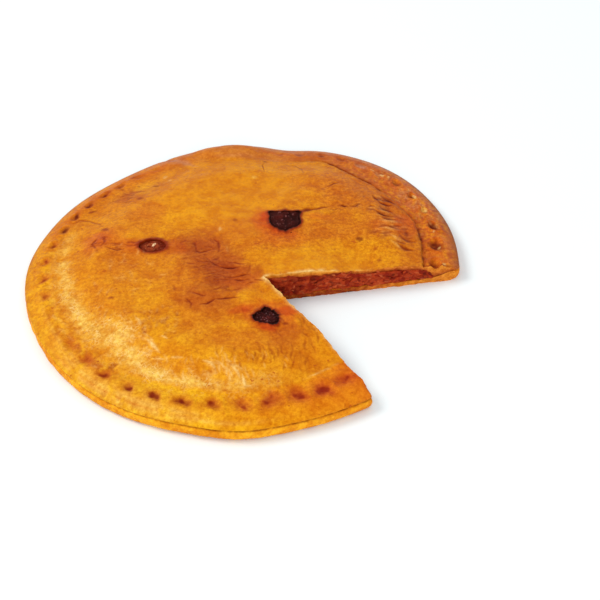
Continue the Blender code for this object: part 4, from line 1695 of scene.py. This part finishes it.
def lid_sheet(crust, dough):
    """The lid in the plain space, with its two cuts closed and its details refined."""
    section = top_rows(*LID_TOP)
    section += [rim(times * LID_EDGE, level) for times, level in LID_SIDE]
    section += [rim(distance * MM, 0) for distance in LID_UNDER_RIM]
    section += [inner(share, 0) for share in LID_UNDER_INNER]
    shape = laid_out(section, LID_STEPS)
    walls = close_both_cuts(shape, wall_columns(*LID_TOP), LID_ROWS)
    mark_inside(shape, walls, lower_too=True)
    make_finer(shape, LID_FINER)
    refine_details(shape)
    return as_mesh("lid", shape, (crust, dough))


def make_lid(crust, dough):
    """The domed lid: flange, dimples, groove, wrinkles, vents and ragged cut edges."""
    mesh = lid_sheet(crust, dough)
    x, y, inward, level = real_places(corner_coordinates(mesh))
    low = lid_under(x, y, inward)
    high = lid_top(x, y, inward) + LidSurface(x, y, inward).relief()
    z = low + (high - low) * level
    z = z + UNDER_RISE * (1 - level) * noise_at(x, y, z, UNDER_SIZE, 21, octaves=2)
    shift_x, shift_y = cut_shift(x, y, z, LID_RAGGED, 31)
    set_corner_coordinates(mesh, np.stack([x + shift_x, y + shift_y, z], axis=1))
    close_tip(mesh)
    mesh = cut_vents(mesh)
    colour_lid(mesh)
    lid = placed("lid", mesh)
    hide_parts("lid_crust")


def colour_lid(mesh):
    """Paints the lid from the places of its corners."""
    x, y, z = corner_coordinates(mesh).T
    inward = edge_distance(x, y)
    face = LidSurface(x, y, inward)
    low = lid_under(x, y, inward)
    level = np.clip((z - low) / (lid_top(x, y, inward) - low), 0, 1)
    colours = lid_colours(face)
    seam = smooth((0.5 - level) / 0.3) * smooth((3 * MM - inward) / (1 * MM))
    seam = seam * seam_strength(face.angle, face.ragged)
    store_colours(mesh, "tint", mixed(colours, SEAM_BROWN, seam))
    store_numbers(mesh, "speckle", speckle_strength(face))
    store_numbers(mesh, "scorch", np.clip(np.maximum(face.burnt, 0.8 * face.dark), 0, 1))
    crackle = pale_band(face, wider=1.5) * (0.6 + face.medium)
    store_numbers(mesh, "crackle", np.clip(crackle, 0, 1))
    along, across = cut_offsets(x, y, FAR_CUT)
    stained = smooth(along_slope(along, STAIN_SLOPE)) * hill(across / (5 * MM))
    stained = stained * (1 - smooth(along_slope(along, STAIN_END_SLOPE)))
    at_rim = smooth(along_slope(along, LID_RIM_SLOPE))
    store_numbers(mesh, "level", level * (1 - 0.7 * stained) * (1 - 0.45 * at_rim))


def seam_strength(angle, uneven):
    """How dark the line is where the lid's edge lies on the base's rim."""
    return np.clip(by_direction(angle, SEAMS) * (0.8 + 1.5 * uneven), 0, 1)


def speckle_strength(face):
    """How strong the fine speckle is: weaker on the calm part of the dome."""
    strength = by_direction(face.angle, SPECKLES)
    for middle, halves, turn, change in SPECKLE_CHANGES:
        strength = strength + change * patch_mask(face.x, face.y, middle, halves, turn, 0)
    return np.clip(strength, 0, 1)


def base_sheet(bake, dough):
    """The base in the plain space, with its two cuts closed."""
    section = [inner(share, 1) for share in BASE_TOP_INNER]
    section += [rim(distance * MM, 1) for distance in BASE_TOP_RIM]
    section += [rim(distance * MM, level) for distance, level in BASE_SIDE]
    section += [rim(distance * MM, 0) for distance in BASE_UNDER_RIM]
    section += [inner(share, 0) for share in UNDER_INNER]
    shape = laid_out(section, BASE_STEPS)
    walls = close_both_cuts(shape, wall_columns(*BASE_WALL), BASE_ROWS)
    mark_inside(shape, walls, lower_too=False)
    return as_mesh("base", shape, (bake, dough))


def make_base(bake, dough):
    """The base sheet with its rounded rim band."""
    mesh = base_sheet(bake, dough)
    x, y, inward, level = real_places(corner_coordinates(mesh))
    angle = direction_of(x, y)
    z = (base_top(inward) - 0.1 * MM) * level
    band = smooth(1 - inward / (6 * MM)) * np.sin(np.clip(level, 0, 1) * math.pi)
    out = BAND_BULGE * band * noise_at(x, y, z, BAND_SIZE, 41, octaves=2)
    shift_x, shift_y = cut_shift(x, y, z, BASE_RAGGED, 43)
    x = x + out * np.cos(np.radians(angle)) + shift_x
    y = y + out * np.sin(np.radians(angle)) + shift_y
    set_corner_coordinates(mesh, np.stack([x, y, z], axis=1))
    colour_base(mesh, (x, y, z), angle, level)
    close_tip(mesh)
    base = placed("base", mesh)
    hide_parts("base_crust")


def colour_base(mesh, places, angle, level):
    """Paints the base from the places of its corners, their directions and their levels."""
    x, y, _ = places
    # Painted light: the band's side face is made lighter than the flange, most of all at the front
    front = smooth(bump(angle, *LIT_FRONT_BAND) * 1.5)
    tint = mixed(rim_colours(angle), BAND_PAINTED_LIGHT, 0.3 + 0.55 * front)
    tint = mixed(tint, AMBER, 0.6 * smooth(1 - level / 0.15))
    uneven = noise_at(*places, 3 * MM, 45, octaves=2)
    seam = smooth((level - 0.84) / 0.12) * seam_strength(angle, uneven)
    store_colours(mesh, "tint", mixed(tint, SEAM_BROWN, 0.8 * seam))
    along = np.hypot(x - CUT_TIP[0], y - CUT_TIP[1])
    clean = 0.4 * smooth(along_slope(along, BASE_RIM_SLOPE)) + 0.6 * hill(along / (7 * MM))
    store_numbers(mesh, "level", np.clip(0.04 + clean + 0.16 * uneven, 0, 0.9))


def make_filling(material):
    """The cooked filling, with shredded faces at both cuts."""
    section = top_rows(*FILLING_TOP)
    section += [rim(distance, 0) for distance in (FILLING_EDGE, 30 * MM)]
    section += [inner(share, 0) for share in UNDER_INNER]
    shape = laid_out(section, FILLING_STEPS)
    close_both_cuts(shape, wall_columns(*FILLING_WALL), FILLING_ROWS)
    mesh = as_mesh("filling_core", shape, (material,))
    x, y, inward, level = real_places(corner_coordinates(mesh))
    low = base_top(inward) - 0.05 * MM
    high = lid_under(x, y, inward) - 0.1 * MM
    z = low + (high - low) * level
    shift_x, shift_y = cut_shift(x, y, 1.5 * z, FILLING_RAGGED, 51)
    set_corner_coordinates(mesh, np.stack([x + shift_x, y + shift_y, z], axis=1))
    tone = 0.5 + 0.9 * noise_at(x, y, 1.5 * z, 4 * MM, 53, octaves=2)
    store_numbers(mesh, "tone", np.clip(tone, 0, 1))
    close_tip(mesh)
    filling = placed("filling_core", mesh)
    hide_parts("filling")


def shred_kind(draw):
    left = draw.random()
    for kind in SHREDS:
        left -= kind[0]
        if left <= 0:
            return kind
    return SHREDS[0]


def rough_ball():
    """A ball of few faces, from a cube whose sides are halved."""
    shape = bmesh.new()
    bmesh.ops.create_cube(shape, size=2)
    bmesh.ops.subdivide_edges(shape, edges=shape.edges, cuts=1, use_grid_fill=True)
    for vert in shape.verts:
        vert.co.normalize()
    return shape


def fine_ball(subdivisions):
    shape = bmesh.new()
    bmesh.ops.create_icosphere(shape, subdivisions=subdivisions, radius=1)
    return shape


def copied(shape, count, material):
    """One mesh that holds a shape many times over, one copy after another."""
    one = bpy.data.objects.new("one", as_mesh("one", shape, (material,)))
    bpy.context.scene.collection.objects.link(one)
    row = one.modifiers.new("row", "ARRAY")
    row.count = count
    row.use_relative_offset = False
    mesh = applied(one)
    bpy.data.objects.remove(one)
    return mesh


def shred_place(draw, direction, side, half_width):
    """A place on a cut face of the filling."""
    whole = float(reach_from_tip(np.array([direction]))[0])
    x, y = from_tip(draw.uniform(SHREDS_FROM_TIP, whole - SHREDS_FROM_OUTLINE), direction)
    spot = np.array([x]), np.array([y])
    inward = edge_distance(*spot)
    low = float(base_top(inward)[0]) + half_width
    high = float(lid_under(*spot, inward)[0]) - 0.7 * half_width
    out = draw.uniform(-1.2, 0.0) * MM * side
    height = draw.uniform(low, high)
    return np.array([x - math.sin(direction) * out, y + math.cos(direction) * out, height])


def make_shreds(material):
    """Flakes of fish, onion and pepper that stick out of both cut faces."""
    draw = random.Random(SHRED_SEED)
    count = 2 * SHREDS_PER_CUT
    mesh = copied(rough_ball(), count, material)
    places = corner_coordinates(mesh).reshape(count, -1, 3)
    colours = np.empty_like(places)
    for index in range(count):
        direction, side = CUT_SIDES[index % 2]
        _, lengths, widths, thicks, colour = shred_kind(draw)
        long, wide, thick = (draw.uniform(*limits) * MM for limits in (lengths, widths, thicks))
        place = shred_place(draw, direction, side, wide)
        turned = Matrix.Rotation(direction + draw.gauss(0, 0.2), 3, "Z")
        turned = turned @ Matrix.Rotation(draw.gauss(0, 0.5), 3, "Y")
        turned = turned @ Matrix.Diagonal((long, thick, wide))
        units = places[index]
        lump = 1 + 0.35 * noise_at(*(units + index).T, 0.8, 61)
        places[index] = (units * lump[:, None]) @ np.array(turned).T + place
        colours[index] = reflected(colour) * draw.uniform(0.75, 1.2)
    set_corner_coordinates(mesh, places.reshape(-1, 3))
    store_colours(mesh, "tint", np.clip(colours.reshape(-1, 3), 0, 1))
    shreds = placed("filling_shreds", mesh)


def make_vent_fill(name, material, seed):
    """A lumpy mound of filling, burnt by the oven, under a vent, with painted glints."""
    middle, (half_width, half_length), straight, _ = VENTS[name]
    below, dark, light, glint = VENT_FILLS[name]
    mesh = as_mesh(f"vent_fill_{name}", fine_ball(6), (material,))
    units = corner_coordinates(mesh)
    lump = noise_at(*units.T, 0.34, seed, octaves=3)
    speck = noise_at(*units.T, 0.1, seed, octaves=2)
    x = middle[0] + units[:, 0] * half_width * VENT_FILL_SPREAD
    y = middle[1] + np.minimum(units[:, 1] * VENT_FILL_SPREAD, straight + 0.05) * half_length
    rounded = np.sign(units[:, 2]) * np.abs(units[:, 2]) ** 0.4
    z = lid_top_at(middle) - below - VENT_FILL_THICK + rounded * VENT_FILL_THICK
    z = z + (0.8 * MM * lump + 0.25 * MM * speck) * (units[:, 2] > 0)
    set_corner_coordinates(mesh, np.stack([x, y, z], axis=1))
    colours = np.tile(reflected(dark), (len(units), 1))
    inside = smooth(1 - VENT_FILL_SPREAD * np.hypot(units[:, 0], units[:, 1]) / 1.1)
    colours = mixed(colours, light, inside * smooth(0.5 + 0.9 * lump))
    # Painted glints on the filling in the vent
    colours = mixed(colours, glint, 0.8 * inside * smooth((speck - 0.35) / 0.25))
    store_colours(mesh, "tint", colours)
    fill = placed(f"vent_fill_{name}", mesh)


def make_onion(material):
    """A pale bit of onion that shows in the left vent."""
    mesh = as_mesh("onion_bit", fine_ball(3), (material,))
    units = corner_coordinates(mesh)
    units = units * (1 + 0.25 * noise_at(*units.T, 0.9, 71))[:, None]
    along, across, up = (units * ONION_HALF).T
    x = ONION_AT[0] + along * math.cos(ONION_TURN) - across * math.sin(ONION_TURN)
    y = ONION_AT[1] + along * math.sin(ONION_TURN) + across * math.cos(ONION_TURN)
    z = lid_top_at(ONION_AT) - 0.2 * MM + up
    set_corner_coordinates(mesh, np.stack([x, y, z], axis=1))
    store_colours(mesh, "tint", np.tile(reflected(ONION_COLOUR), (len(units), 1)))
    onion = placed("onion_bit", mesh)


def make_floor():
    """A plain pale floor."""
    shape = bmesh.new()
    bmesh.ops.create_grid(shape, x_segments=1, y_segments=1, size=FLOOR_HALF)
    material, _, shader, _ = new_material("floor_white", 0.9, 0.0)
    shader.inputs["Base Color"].default_value = (*FLOOR_COLOUR, 1)
    mesh = as_mesh("floor", shape, (material,))
    floor = bpy.data.objects.new("floor", mesh)
    bpy.context.scene.collection.objects.link(floor)


def aim(item, target):
    """Turns a camera or a light towards a place."""
    heading = Vector(target) - item.location
    item.rotation_euler = heading.to_track_quat("-Z", "Y").to_euler()


def make_camera():
    camera = bpy.data.objects.new("camera", bpy.data.cameras.new("camera"))
    back = VIEW_DISTANCE * math.cos(VIEW_ELEVATION)
    up = VIEW_DISTANCE * math.sin(VIEW_ELEVATION)
    camera.location = Vector(VIEW_TARGET) + Vector((0, -back, up))
    aim(camera, VIEW_TARGET)
    camera.data.sensor_width = SENSOR_WIDTH
    camera.data.lens = VIEW_LENS
    camera.data.clip_start = 0.01
    bpy.context.scene.collection.objects.link(camera)
    bpy.context.scene.camera = camera


def make_light(name, place, size, power, colour):
    data = bpy.data.lights.new(name, "AREA")
    data.shape = "DISK"
    data.size = size
    data.energy = power
    data.color = colour
    light = bpy.data.objects.new(name, data)
    light.location = place
    aim(light, (0, 0, 0))
    bpy.context.scene.collection.objects.link(light)


def make_studio():
    """Soft warm light from the upper left, and an even, slightly cool surround."""
    world = bpy.data.worlds.new("studio")
    world.use_nodes = True
    surround = world.node_tree.nodes["Background"]
    surround.inputs["Color"].default_value = (*SURROUND_COLOUR, 1)
    surround.inputs["Strength"].default_value = SURROUND_STRENGTH
    bpy.context.scene.world = world
    for name, light in LIGHTS.items():
        make_light(name, *light)
    bpy.context.scene.view_settings.view_transform = "Standard"


def main():
    make_camera()
    make_studio()
    make_floor()
    dough = dough_material()
    make_lid(crust_material(), dough)
    make_base(base_material(), dough)
    make_filling(filling_material())
    make_shreds(tinted_material("tuna_shreds", 0.5, 0.12, 2.4 * MM))
    char = tinted_material("vent_char", 0.65, 0.06, 1.4 * MM)
    for seed, name in enumerate(VENT_FILLS, VENT_FILL_SEED):
        make_vent_fill(name, char, seed)
    make_onion(char)


main()
